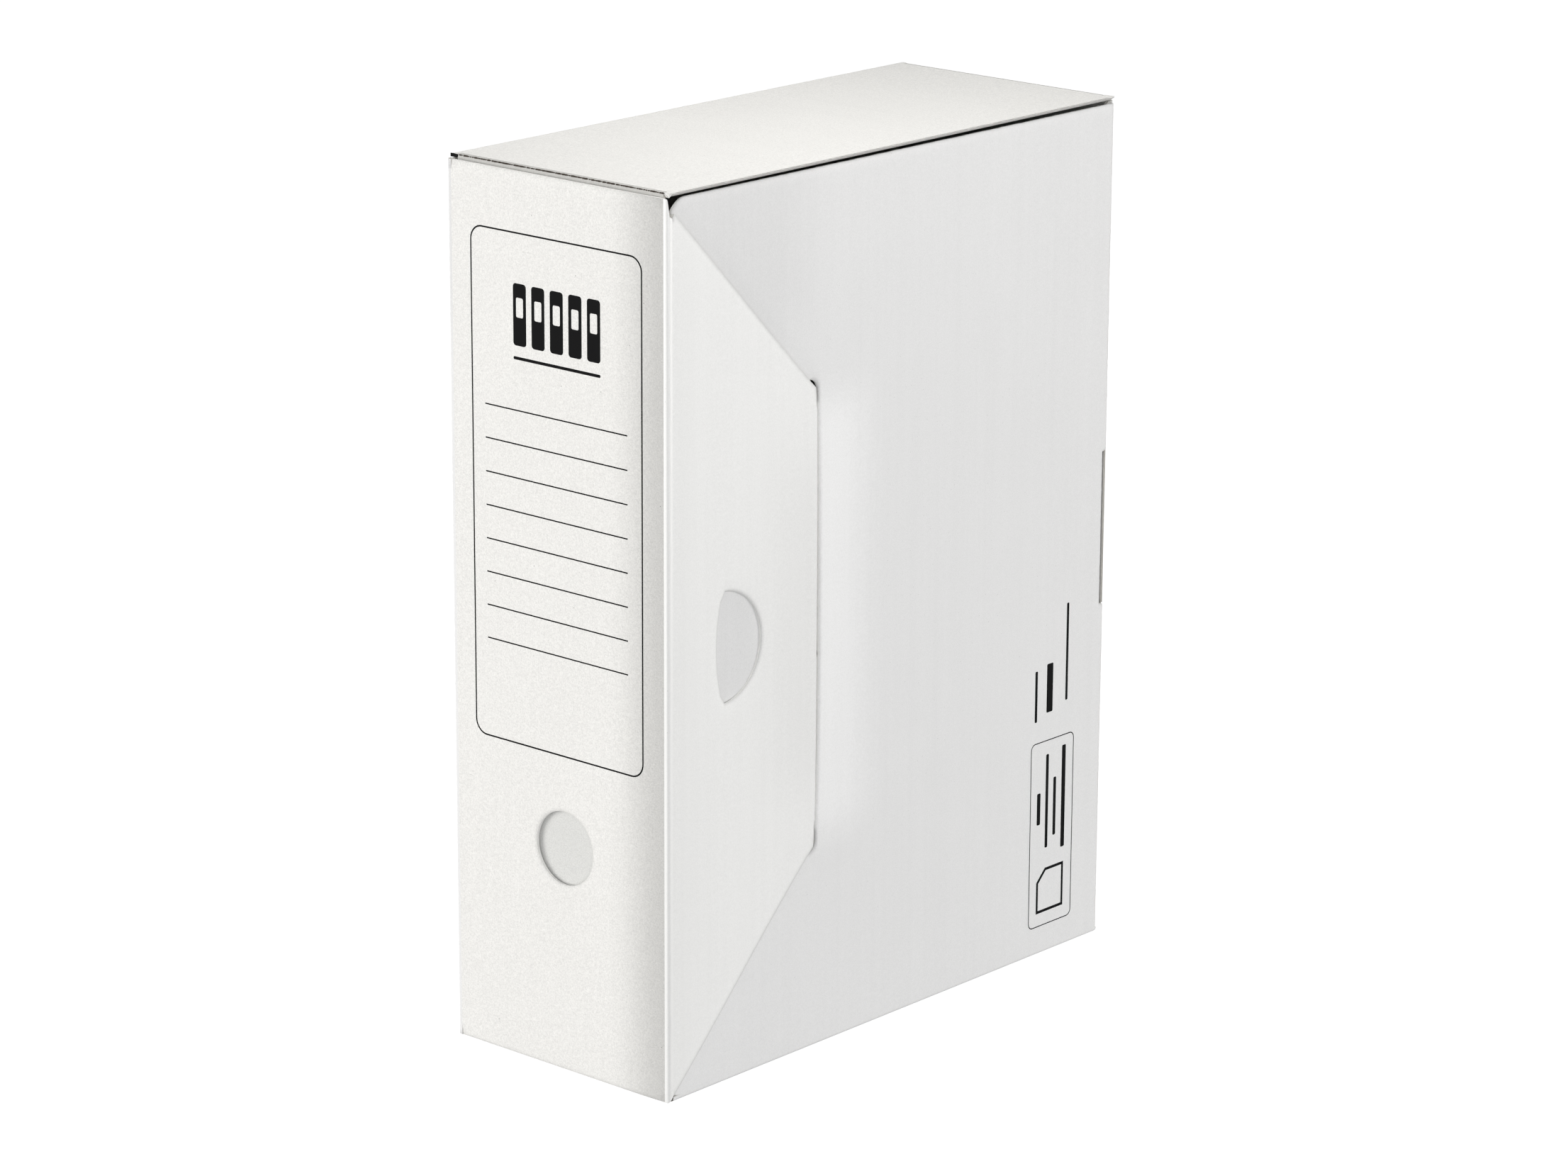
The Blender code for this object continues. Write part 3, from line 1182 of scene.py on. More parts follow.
@dataclass
class Shape:
    """The box's faces, taken from the frame, and the soft forms that its boards share."""

    low: Array = field(default_factory=lambda: np.array(CAD_BOX[0]) / MM)
    high: Array = field(default_factory=lambda: np.array(CAD_BOX[1]) / MM)
    spine_inset: float = 0.06
    spine_roll: float = 0.7
    spine_roll_start: float = 33.0
    tongue_inset: float = 0.9
    lip_bulge: float = 1.55
    lip_reach: float = 16.0
    under_tongue: float = 1.05
    thumb_swell: float = 0.62

    def __post_init__(self) -> None:
        """Reads the slit and the tongue from the frame."""
        tongue_low, tongue_high = box_mm("closing_tongue")
        side_low, side_high = box_mm("right_side_panel")
        self.tongue_box = (tongue_low, tongue_high)
        self.side_box = (side_low, side_high)
        self.side_face = side_high[0]
        self.middle = (tongue_low[2] + tongue_high[2]) / 2
        self.tongue_base = (tongue_high[2] - tongue_low[2]) / 2
        self.reach = tongue_high[1] - tongue_low[1]
        self.slit = tongue_high[1] + 2.2
        self.slit_front = self.slit - 3.0
        self.slit_half = self.tongue_base - self.reach

    def window(self, v: Array | float, half: float) -> Array:
        """1 at the tongue's middle height, falling smoothly to 0 at half above and below."""
        t = np.clip(np.abs(np.asarray(v, float) - self.middle) / half, 0.0, 1.0)
        return (1.0 - t**2.6) ** 1.2

    def spine_relief(self, u: Array | float, v: Array | float) -> Array:
        """The spine rolls back a little towards the closing tongue."""
        t = np.clip((np.asarray(u, float) - self.spine_roll_start) / (self.high[0] - self.spine_roll_start), 0, 1)
        return self.spine_inset + self.spine_roll * t**2

    def tongue_corner(self, distance: float) -> float:
        """The tongue's depth behind its outermost plane, near the crease to the spine."""
        roll = 0.35 * max(0.0, 1.0 - distance / 15.0) ** 2
        return self.tongue_inset + roll

    def side_relief(self, u: Array, v: Array) -> Array:
        """The right wall dips under the tongue and bulges behind the slit."""
        into = u - self.low[1]
        cover = self.tongue_base - np.abs(v - self.middle) - into
        under = self.under_tongue * smooth(cover, -7.0, 3.0) * smooth(u, self.slit + 0.2, self.slit - 0.2)
        lip = smooth(u, self.slit_front, self.slit - 0.3) * np.exp(-np.maximum(u - self.slit, 0.0) / self.lip_reach)
        bulge = self.lip_bulge * lip * self.window(v, self.slit_half + 9.0)
        far = np.hypot((u - self.low[1] - 37.0) / 13.5, (v - self.middle) / 21.0)
        swell = self.thumb_swell * smooth(far, 1.35, 0.7)
        along = np.clip((u - self.low[1]) / 244.0, 0, 1)
        up = np.clip(v / 325.0, 0, 1)
        waist = 0.25 * np.sin(np.pi * along) * np.sin(np.pi * up)
        return under - bulge + waist - swell


@dataclass
class Shell:
    """The walls that never move: left, top, bottom, back and its tuck flap, and their creases."""

    shape: Shape
    bow: float = 0.35
    top_setback: float = 1.7

    def _bowed(self, low: Pair, high: Pair, bow: float) -> Relief:
        """A wall that sinks a little in its middle."""

        def relief(u: Array, v: Array) -> Array:
            across = np.sin(np.pi * np.clip((u - low[0]) / (high[0] - low[0]), 0, 1))
            up = np.sin(np.pi * np.clip((v - low[1]) / (high[1] - low[1]), 0, 1))
            return bow * across * up

        return relief

    def build(self, made: Finishes) -> None:
        """Makes every fixed wall."""
        self._lids(made)
        self._left(made)
        self._back(made)
        self._creases(made)
        self._fluting(made)

    def _lids(self, made: Finishes) -> None:
        """The top and the bottom, each with a tab at its corners beside the dust flaps."""
        for name, wall, front, rear, outside in (
            ("top_panel", Wall.TOP, "top_front_flap", "top_rear_flap", "outer"),
            ("bottom_panel", Wall.BOTTOM, "bottom_front_flap", "bottom_rear_flap", "outer"),
        ):
            low, high = box_mm(name)
            front_low, front_high = box_mm(front)
            rear_low, rear_high = box_mm(rear)
            y0, y1 = low[1], high[1]
            left = low[0] + FOLD_REACH
            folded = wall is Wall.BOTTOM
            right = high[0] - (FOLD_REACH if folded else self.top_setback)
            last = Rim.FOLD if folded else Rim.CUT
            outline = [
                (left, y0 + 0.1, Rim.CUT),
                (front_low[0] - 0.2, y0 + 0.1, Rim.CUT),
                (front_low[0], y0 + FOLD_REACH, Rim.FOLD),
                (front_high[0], y0 + FOLD_REACH, Rim.CUT),
                (front_high[0] + 0.2, y0 + 0.1, Rim.CUT),
                (right, y0 + 0.1, last),
                (right, y1 - 0.1, Rim.CUT),
                (rear_high[0] + 0.2, y1 - 0.1, Rim.CUT),
                (rear_high[0], y1 - FOLD_REACH, Rim.FOLD),
                (rear_low[0], y1 - FOLD_REACH, Rim.CUT),
                (rear_low[0] - 0.2, y1 - 0.1, Rim.CUT),
                (left, y1 - 0.1, Rim.FOLD),
            ]
            relief = self._bowed((low[0], y0), (high[0], y1), self.bow if wall is Wall.TOP else 0.2)
            face = high[2] if wall is Wall.TOP else low[2]
            corner = right - 1.9

            def crush(u: Array, v: Array) -> Array:
                return 1.0 - smooth(u, corner, corner + 0.2) * smooth(v, y0 + 1.2, y0 + 0.9)

            pinch = PINCH if folded else (0.05, 1.0)
            sheet = Sheet(wall, face, outline, relief=relief, pinch=pinch, crush=crush, ragged=0.03)
            finishes = Palette.board(made, outside, "rim")
            piece = sheet.add_to(Bag()).piece(f"{name}_board", finishes)
            dress(piece, "box", [name])

    def _left(self, made: Finishes) -> None:
        """The left wall, folded on all four sides."""
        low, _ = box_mm("left_side_panel")
        shape = self.shape
        corner_low = (shape.low[1] + FOLD_REACH, shape.low[2] + FOLD_REACH)
        corner_high = (shape.high[1] - FOLD_REACH, shape.high[2] - FOLD_REACH)
        outline = [(u, v, Rim.FOLD) for u, v, _ in rectangle(corner_low, corner_high)]
        relief = self._bowed(corner_low, corner_high, 0.5)
        sheet = Sheet(Wall.LEFT, low[0], outline, relief=relief, step=5.0)
        piece = sheet.add_to(Bag()).piece("left_side_board", Palette.board(made, "left"))
        dress(piece, "box", ["left_side_panel"])

    def _back(self, made: Finishes) -> None:
        """The back wall, and the tuck flap that closes it inside the right wall."""
        low, high = box_mm("back_panel")
        tuck_low, tuck_high = box_mm("back_tuck_flap")
        slot = LOCK_SLOT
        face = high[1]
        corner = high[0]
        outline = [
            (low[0] + FOLD_REACH, low[2] + 0.2, Rim.CUT),
            (corner - FOLD_REACH, low[2] + 0.2, Rim.FOLD),
            (corner - FOLD_REACH, slot[0], Rim.CUT),
            (corner, slot[0], Rim.CUT),
            (corner, slot[1], Rim.CUT),
            (corner - FOLD_REACH, slot[1], Rim.FOLD),
            (corner - FOLD_REACH, high[2] - 0.2, Rim.CUT),
            (low[0] + FOLD_REACH, high[2] - 0.2, Rim.FOLD),
        ]
        relief = self._bowed((low[0], low[2]), (high[0], high[2]), 0.4)
        sheet = Sheet(Wall.BACK, face, outline, relief=relief, step=5.0)
        piece = sheet.add_to(Bag()).piece("back_board", Palette.board(made, "back"))
        dress(piece, "box", ["back_panel"])
        rear = face - FOLD_REACH
        notch = tuck_high[1] - 4.2
        tuck = [
            (tuck_low[1], tuck_low[2] + 12.0, Rim.CUT),
            (tuck_high[1] - 1.0, tuck_low[2], Rim.CUT),
            (rear, tuck_low[2], Rim.FOLD),
            (rear, slot[0], Rim.CUT),
            (notch, slot[0] + 1.0, Rim.CUT),
            (notch, slot[1] - 1.0, Rim.CUT),
            (rear, slot[1], Rim.FOLD),
            (rear, tuck_high[2], Rim.CUT),
            (tuck_high[1] - 1.0, tuck_high[2], Rim.CUT),
            (tuck_low[1], tuck_high[2] - 12.0, Rim.CUT),
        ]
        flap = Sheet(Wall.RIGHT, tuck_high[0], tuck, ragged=0.12, step=3.0, seed=11)
        piece = flap.add_to(Bag()).piece("back_tuck_board", Palette.board(made, "inner"))
        dress(piece, "box", ["back_tuck_flap"])
        for number, span in enumerate(((low[2] + 0.2, slot[0]), (slot[1], high[2] - 0.2))):
            crease = Crease((corner, face, 0.0), (-1, 0, 0), (0, -1, 0), (0, 0, 1), span)
            bag = crease.add_to(Bag())
            piece = bag.piece(f"tuck_crease_{number + 1}", Palette.board(made, "spine"))
            dress_crease(piece, crease, ("box", "box"), "outer_board")

    def _creases(self, made: Finishes) -> None:
        """The fixed folds: left to top, bottom and back, and bottom to right."""
        low, high = self.shape.low, self.shape.high
        top_low, top_high = box_mm("top_panel")
        back_low, back_high = box_mm("back_panel")
        side = self.shape.side_face
        across = (top_low[1], top_high[1])
        upright = (back_low[2], back_high[2])
        after_corner = (top_low[1] + BOARD, top_high[1])
        y, z = (0, 1, 0), (0, 0, 1)
        rows = (
            ("top_left_crease", (low[0], 0.0, high[2]), (1, 0, 0), (0, 0, -1), y, across, "outer"),
            ("bottom_left_crease", (low[0], 0.0, low[2]), z, (1, 0, 0), y, across, "side"),
            ("bottom_right_crease", (side, 0.0, low[2]), (-1, 0, 0), z, y, after_corner, "side"),
            ("back_left_crease", (low[0], high[1], 0.0), (0, -1, 0), (1, 0, 0), z, upright, "side"),
        )
        for name, corner, along_a, along_b, axis, span, outside in rows:
            trim = self._open if name.startswith("top") else self._tuck
            ends = (span[0] + 0.1, span[1] - 0.1)
            crease = Crease(corner, along_a, along_b, axis, ends, radius=1.5, trim=trim)
            piece = crease.add_to(Bag()).piece(name, Palette.board(made, outside))
            dress_crease(piece, crease, ("box", "box"), "outer_board" if outside == "outer" else "side_board")

    @staticmethod
    def _tuck(a: float, b: float) -> Pair:
        """The crushed ends of a crease: only its outer liner reaches the box's ends."""
        back = 2.4 * float(smooth(min(a, b), 0.2, 0.7))
        return back, back

    @staticmethod
    def _open(a: float, b: float) -> Pair:
        """The ends of the top's crease: the left wall's part of it is cut back, which leaves a notch."""
        back = 3.4 * float(smooth(b, 0.25, 0.6))
        return back, back

    def _fluting(self, made: Finishes) -> None:
        """The waves of fluting paper that show in the top's long cut edge."""
        low, high = box_mm("top_panel")
        row = Flutes(
            "top_fluting", (high[0] - self.top_setback, low[1] + 3.0, high[2] - 0.24), (0, 1, 0), (-1, 0, 0),
            high[1] - low[1] - 6.0, height=0.12, paper=0.05,
        )
        dress(row.make(made), "box")


@dataclass
class Flutes:
    """One row of flutes in a straight cut edge.

    Attributes:
        name: The piece's name.
        start: Middle of the edge at its first flute.
        along: Direction of the edge.
        inwards: Direction into the board.
        length: Length of the edge.
        pitch: Distance from flute to flute.
        height: Height of the wave.
        paper: Thickness of the fluting paper.
    """

    name: str
    start: Triple
    along: Triple
    inwards: Triple
    length: float
    pitch: float = FLUTE_PITCH
    height: float = 0.46
    paper: float = 0.11

    def make(self, made: Finishes) -> Object:
        """The finished row."""
        steps = np.linspace(0.0, 1.0, 11)
        wave = [(s * self.pitch, self.height / 2 * math.cos(2 * math.pi * s)) for s in steps]
        section = [(x, z + self.paper / 2) for x, z in wave] + [(x, z - self.paper / 2) for x, z in wave[::-1]]
        part = prism(f"{self.name}_wave", section, 0.3)
        count = max(1, int(self.length / self.pitch))
        inner = Vector(self.start) + Vector(self.inwards) * 0.2
        place = axes_at(tuple(inner), self.along, self.inwards)
        return Row(self.name, count, self.pitch).make(part, made["flute"], place)


@dataclass
class SpinePanel:
    """The spine: a door with its label print, its finger hole and the crease to the left wall."""

    shape: Shape
    hole_radius: float = 13.6
    hole_height: float = 83.5
    hole_from_left: float = 54.2
    frame_low: Pair = (11.0, 117.4)
    frame_high: Pair = (92.4, 302.0)
    frame_radius: float = 5.5
    frame_line: float = 0.58
    marks: int = 5
    mark_left: float = 31.5
    mark_pitch: float = 8.8
    mark_width: float = 6.2
    mark_height: Pair = (262.0, 284.0)
    rule_left: float = 17.5
    rule_right: float = 85.3
    rule_top: float = 238.9
    rule_pitch: float = 12.14
    rules: int = 8

    def build(self, made: Finishes) -> None:
        """Makes the board, its creases and its print."""
        self._board(made)
        self._crease(made)
        self._print(made)
        self._fluting(made)

    def _board(self, made: Finishes) -> None:
        """The panel itself."""
        low, high = box_mm("spine_panel")
        left, right = low[0] + FOLD_REACH, self.shape.high[0] - self.shape.tongue_corner(0.0) - FOLD_REACH
        bottom, top = low[2], high[2]
        outline = [
            (left, bottom, Rim.CUT),
            (right, bottom, Rim.FOLD),
            (right, top, Rim.CUT),
            (left, top, Rim.FOLD),
        ]
        hole = arc((low[0] + self.hole_from_left, self.hole_height), self.hole_radius, 0, 360, 72)[:-1]
        lines = (np.arange(self.shape.spine_roll_start, right - 0.5, 1.5).tolist(), ())
        sheet = Sheet(
            Wall.FRONT, low[1], outline, [hole], relief=self.shape.spine_relief, lines=lines,
            pinch=(0.3, 0.3), recess=0.06,
        )
        finishes = Palette.board(made, "spine", "rim")
        piece = sheet.add_to(Bag()).piece("spine_board", finishes)
        dress(piece, "spine", ["spine_panel"])

    def _crease(self, made: Finishes) -> None:
        """The fold between the left wall and the spine, which is the door's hinge."""
        low, high = box_mm("spine_panel")
        crease = Crease(
            (low[0], low[1], 0.0), (0, 1, 0), (1, 0, 0), (0, 0, 1), (low[2], high[2]), radius=1.4,
            relief_b=lambda s: self.shape.spine_inset,
        )
        piece = crease.add_to(Bag()).piece("spine_hinge_crease", Palette.board(made, "side"))
        dress_crease(piece, crease, ("box", "spine"), "spine_board")

    def _film(self, shapes: Sequence[Drawing]) -> Bag:
        """Thin ink shapes that lie on the spine."""
        return film(Wall.FRONT, box_mm("spine_panel")[0][1], self.shape.spine_relief, shapes)

    def _print(self, made: Finishes) -> None:
        """The label: a round-cornered frame, a plain mark of standing files, and writing lines."""
        x0 = self.shape.low[0]
        low = (x0 + self.frame_low[0], self.frame_low[1])
        high = (x0 + self.frame_high[0], self.frame_high[1])
        frame_line = framed(low, high, self.frame_radius, self.frame_line, 10)
        piece = self._film([frame_line]).piece("label_frame", [made["ink"]] * 3)
        dress(piece, "spine")
        shapes = []
        low, high = self.mark_height
        for number in range(self.marks):
            left = x0 + self.mark_left + number * self.mark_pitch
            right = left + self.mark_width
            tall = rounded((left, low), (right, high), 1.2, 4)
            slot = rounded((left + 1.4, low + 10.0), (right - 1.4, high - 5.0), 0.6, 3)
            shapes.append((tall, [slot]))
        end = self.mark_left + (self.marks - 1) * self.mark_pitch + self.mark_width
        shapes.append((rounded((x0 + self.mark_left, low - 5.0), (x0 + end, low - 3.9), 0.5, 3), []))
        piece = self._film(shapes).piece("label_file_mark", [made["ink"]] * 3)
        dress(piece, "spine")
        width = self.rule_right - self.rule_left
        section = [(0.24, 0.02), (-0.24, 0.02), (-0.24, -0.02), (0.24, -0.02)]
        rule = prism("writing_rule", section, width)
        centre = x0 + (self.rule_left + self.rule_right) / 2
        surface = self.shape.low[1] + self.shape.spine_inset - 0.015
        place = axes_at((centre, surface, self.rule_top), (0, 0, -1), (1, 0, 0))
        rules = Row("label_writing_lines", self.rules, self.rule_pitch).make(rule, made["ink"], place)
        dress(rules, "spine")

    def _fluting(self, made: Finishes) -> None:
        """The flutes in the spine's top edge."""
        low, high = box_mm("spine_panel")
        row = Flutes("spine_fluting", (low[0] + 3.0, low[1] + BOARD / 2, high[2]), (1, 0, 0), (0, 0, -1), 94.0)
        dress(row.make(made), "spine")


@dataclass
class ClosingTongue:
    """The tongue on the spine's right edge, whose tip is tucked in the right wall's slit."""

    shape: Shape
    hole_radius: float = 20.3
    hole_setback: float = 27.5
    hole_chord: float = 0.2
    hole_bow: float = 3.0
    tip_length: float = 11.0
    tip_half: float = 80.0
    tent: float = 0.75
    slopes: tuple[Pair, ...] = (
        (0.0, -3.0),
        (14.0, 0.7),
        (36.0, 0.9),
        (54.0, -1.2),
        (75.6, -2.2),
        (76.7, 64.0),
        (77.7, 66.0),
        (78.7, 16.0),
        (84.0, 9.0),
        (95.0, 3.0),
    )

    def __post_init__(self) -> None:
        """Integrates the surface's slopes into the path that the board follows."""
        corner_y = self.shape.low[1] + self.shape.spine_inset + self.shape.spine_roll
        corner_x = self.shape.high[0] - self.shape.tongue_corner(0.0)
        knots = np.array(self.slopes)
        self.run = np.linspace(0.0, 95.0, 3801)
        self.angle = np.radians(np.interp(self.run, knots[:, 0], knots[:, 1]))
        step = self.run[1] - self.run[0]
        self.path_y = corner_y + np.concatenate(([0.0], np.cumsum(np.cos(self.angle[:-1]) * step)))
        self.path_x = corner_x - np.concatenate(([0.0], np.cumsum(np.sin(self.angle[:-1]) * step)))

    def place(self, u: Array, v: Array, depth: Array) -> Array:
        """Puts the flat tongue in space: u counts along the board from the crease."""
        y, x = np.interp(u, self.run, self.path_y), np.interp(u, self.run, self.path_x)
        angle = np.interp(u, self.run, self.angle)
        tent = 1.0 - np.clip(np.abs(v - self.shape.middle) / (self.shape.slit_half + 4.0), 0.0, 1.0) ** 3
        sag = self.tent * (1.0 - tent) * smooth(u, 28.0, 74.0)
        return np.stack((x - depth * np.cos(angle) - sag, y - depth * np.sin(angle), v), 1)

    def build(self, made: Finishes) -> None:
        """Makes the board and its crease."""
        self._board(made)
        self._crease(made)

    def _crushed(self, u: Array, v: Array) -> Array:
        """The punch crushed the hole's rim harder than the knife crushed the edges."""
        far = np.hypot(u - self.hole_setback, v - self.shape.middle)
        return 0.15 + 0.85 * smooth(far, self.hole_radius + 6.0, self.hole_radius + 3.0)

    def _hole(self) -> list[Run]:
        """The D-shaped thumb hole, round towards the tip."""
        centre = (self.hole_setback, self.shape.middle)
        half = math.sqrt(self.hole_radius**2 - self.hole_chord**2)
        turn = 90.0 - math.degrees(self.hole_chord / self.hole_radius)
        bow_radius = (half**2 + self.hole_bow**2) / (2 * self.hole_bow)
        bow_centre = (centre[0] + self.hole_chord - self.hole_bow + bow_radius, centre[1])
        swing = math.degrees(half / bow_radius)
        bow = arc(bow_centre, bow_radius, 180 - swing, 180 + swing, 24)
        return arc(centre, self.hole_radius, -turn, turn, 48)[1:-1] + bow[2:-2]

    def _board(self, made: Finishes) -> None:
        """The tongue with its tip, in one sheet."""
        shape = self.shape
        middle, base = shape.middle, shape.tongue_base
        near, far = FOLD_REACH, shape.reach - 0.6
        tip = far + self.tip_length
        tip_half = self.tip_half - 1.0
        outline = [
            (near, middle - base + near, Rim.CUT),
            (far, middle - base + far, Rim.CUT),
            (far + 0.6, middle - tip_half, Rim.CUT),
            (tip - 2.0, middle - tip_half + 1.5, Rim.CUT),
            (tip, middle - tip_half + 5.0, Rim.CUT),
            (tip, middle + tip_half - 5.0, Rim.CUT),
            (tip - 2.0, middle + tip_half - 1.5, Rim.CUT),
            (far + 0.6, middle + tip_half, Rim.CUT),
            (far, middle + base - far, Rim.CUT),
            (near + 0.9, middle + base - near - 0.9, Rim.CUT),
            (near, middle + base - near - 3.0, Rim.FOLD),
        ]
        lines = (np.concatenate((np.arange(2.5, 16, 1.5), np.arange(74.6, 80.2, 0.22))).tolist(), ())
        sheet = Sheet(
            Wall.RIGHT, shape.high[0], outline, [self._hole()], placer=self.place, lines=lines,
            ragged=0.05, step=3.5, pinch=(0.6, 0.35), crush=self._crushed, recess=0.06,
        )
        finishes = Palette.board(made, "tongue", "rim")
        piece = sheet.add_to(Bag()).piece("closing_tongue_board", finishes)
        dress(piece, "tongue", ["closing_tongue", "tongue_tip"])

    def _crease(self, made: Finishes) -> None:
        """The fold between the spine and the tongue."""
        shape = self.shape
        corner_x = shape.high[0] - shape.tongue_corner(0.0)
        corner_y = shape.low[1] + shape.spine_inset + shape.spine_roll
        low, high = box_mm("spine_panel")
        first, last = shape.middle - shape.tongue_base, shape.middle + shape.tongue_base

        def trim(pa: float, pb: float) -> Pair:
            share = float(smooth(pb, 0.0, 0.8))
            return max(0.0, pb) * 1.0 + share * (first - low[2]), max(0.0, pb) * 0.6 + share * (high[2] - last + 3.2)

        def spine_side(s: float) -> float:
            return float(shape.spine_relief(corner_x - s, 0.0)) - shape.spine_inset - shape.spine_roll

        def tongue_side(s: float) -> float:
            return float(np.interp(s, self.run, corner_x - self.path_x))

        crease = Crease(
            (corner_x, corner_y, 0.0), (-1, 0, 0), (0, 1, 0), (0, 0, 1), (low[2], high[2]),
            radius=1.0, relief_a=spine_side, relief_b=tongue_side, trim=trim, step=2.0,
        )
        piece = crease.add_to(Bag()).piece("tongue_crease", Palette.board(made, "fold"))
        dress_crease(piece, crease, ("spine", "tongue"), "side_board")


@dataclass
class RightWall:
    """The right wall, with the slit for the tongue's tip, its lock slot and its small print."""

    shape: Shape
    corner_radius: float = 7.0
    front_setback: float = 1.5
    top_drop: float = 0.35
    curl: float = 3.8

    def build(self, made: Finishes) -> None:
        """Makes the board and its print."""
        self._board(made)
        self._print(made)

    def _slit(self) -> list[Run]:
        """The slit, with both ends curled towards the spine."""
        shape = self.shape
        back, front = shape.slit, shape.slit_front
        high, low = shape.middle + shape.slit_half - 0.5, shape.middle - shape.slit_half + 0.5
        curl = back - self.curl
        inner = front - curl
        return (
            arc((curl, low), self.curl, -90, 0, 8)
            + arc((curl, high), self.curl, 0, 90, 8)
            + arc((curl, high), inner, 90, 0, 6)
            + arc((curl, low), inner, 0, -90, 6)
        )

    def _board(self, made: Finishes) -> None:
        """The panel itself."""
        shape = self.shape
        low, high = shape.side_box
        y0, y1 = low[1] + self.front_setback, high[1]
        top, fall = high[2] - self.top_drop, 0.5
        slot_low, slot_high = LOCK_SLOT
        bottom = shape.low[2] + FOLD_REACH
        r = self.corner_radius
        outline = [
            (y0, bottom + 1.0, Rim.CUT),
            (y0 + 1.5, bottom, Rim.FOLD),
            (y1, bottom, Rim.CUT),
            (y1, slot_low, Rim.CUT),
            (y1 - 2.0, slot_low + 0.4, Rim.CUT),
            (y1 - 2.0, slot_high - 0.4, Rim.CUT),
            (y1, slot_high, Rim.CUT),
            (y1, top - fall, Rim.CUT),
        ] + arc((y0 + r, top - r), r, 90, 180, 8)
        before = np.arange(shape.slit_front - 14, shape.slit_front - 1, 2.0)
        behind = np.arange(shape.slit + 1.8, shape.slit + 40, 1.6)
        slit_lines = np.concatenate((before, behind))
        sheet = Sheet(
            Wall.RIGHT, shape.side_face, outline, [self._slit()], relief=shape.side_relief,
            lines=(slit_lines.tolist(), ()), ragged=0.04, step=3.5, seed=5, pinch=(0.5, 0.3), recess=0.06,
        )
        finishes = Palette.board(made, "side", "rim")
        piece = sheet.add_to(Bag()).piece("right_side_board", finishes)
        dress(piece, "box", ["right_side_panel"])

    def _print(self, made: Finishes) -> None:
        """A framed block and a loose block of plain bars, as on a maker's small print."""
        shape = self.shape
        y0 = shape.low[1]
        shapes: list[Drawing] = [framed((y0 + 200.5, 11.2), (y0 + 226.0, 84.7), 2.5, 0.38, 6)]
        bars = (
            (205.6, 52.0, 64.5, 2.0),
            (210.4, 42.0, 79.0, 1.6),
            (215.0, 46.0, 69.0, 1.6),
            (220.2, 40.0, 80.5, 2.2),
            (203.0, 93.0, 113.0, 1.4),
            (211.0, 95.5, 114.5, 3.6),
            (221.0, 98.0, 136.0, 1.3),
        )
        for place, start, end, wide in bars:
            left = y0 + place - wide / 2
            shapes.append((rounded((left, start), (left + wide, end), min(0.5, wide / 3), 3), []))
        sheet_low, sheet_high = (y0 + 205.0, 16.5), (y0 + 221.0, 34.0)
        outer = [
            (sheet_low[0], sheet_low[1], Rim.CUT),
            (sheet_high[0], sheet_low[1], Rim.CUT),
            (sheet_high[0], sheet_high[1], Rim.CUT),
            (sheet_low[0] + 5.0, sheet_high[1], Rim.CUT),
            (sheet_low[0], sheet_high[1] - 5.0, Rim.CUT),
        ]
        inner = [
            (sheet_low[0] + 1.1, sheet_low[1] + 1.1, Rim.CUT),
            (sheet_high[0] - 1.1, sheet_low[1] + 1.1, Rim.CUT),
            (sheet_high[0] - 1.1, sheet_high[1] - 1.1, Rim.CUT),
            (sheet_low[0] + 5.5, sheet_high[1] - 1.1, Rim.CUT),
            (sheet_low[0] + 1.1, sheet_high[1] - 5.5, Rim.CUT),
        ]
        shapes.append((outer, [inner]))
        bag = film(Wall.RIGHT, shape.side_face, shape.side_relief, shapes)
        dress(bag.piece("side_print", [made["ink"]] * 3), "box")


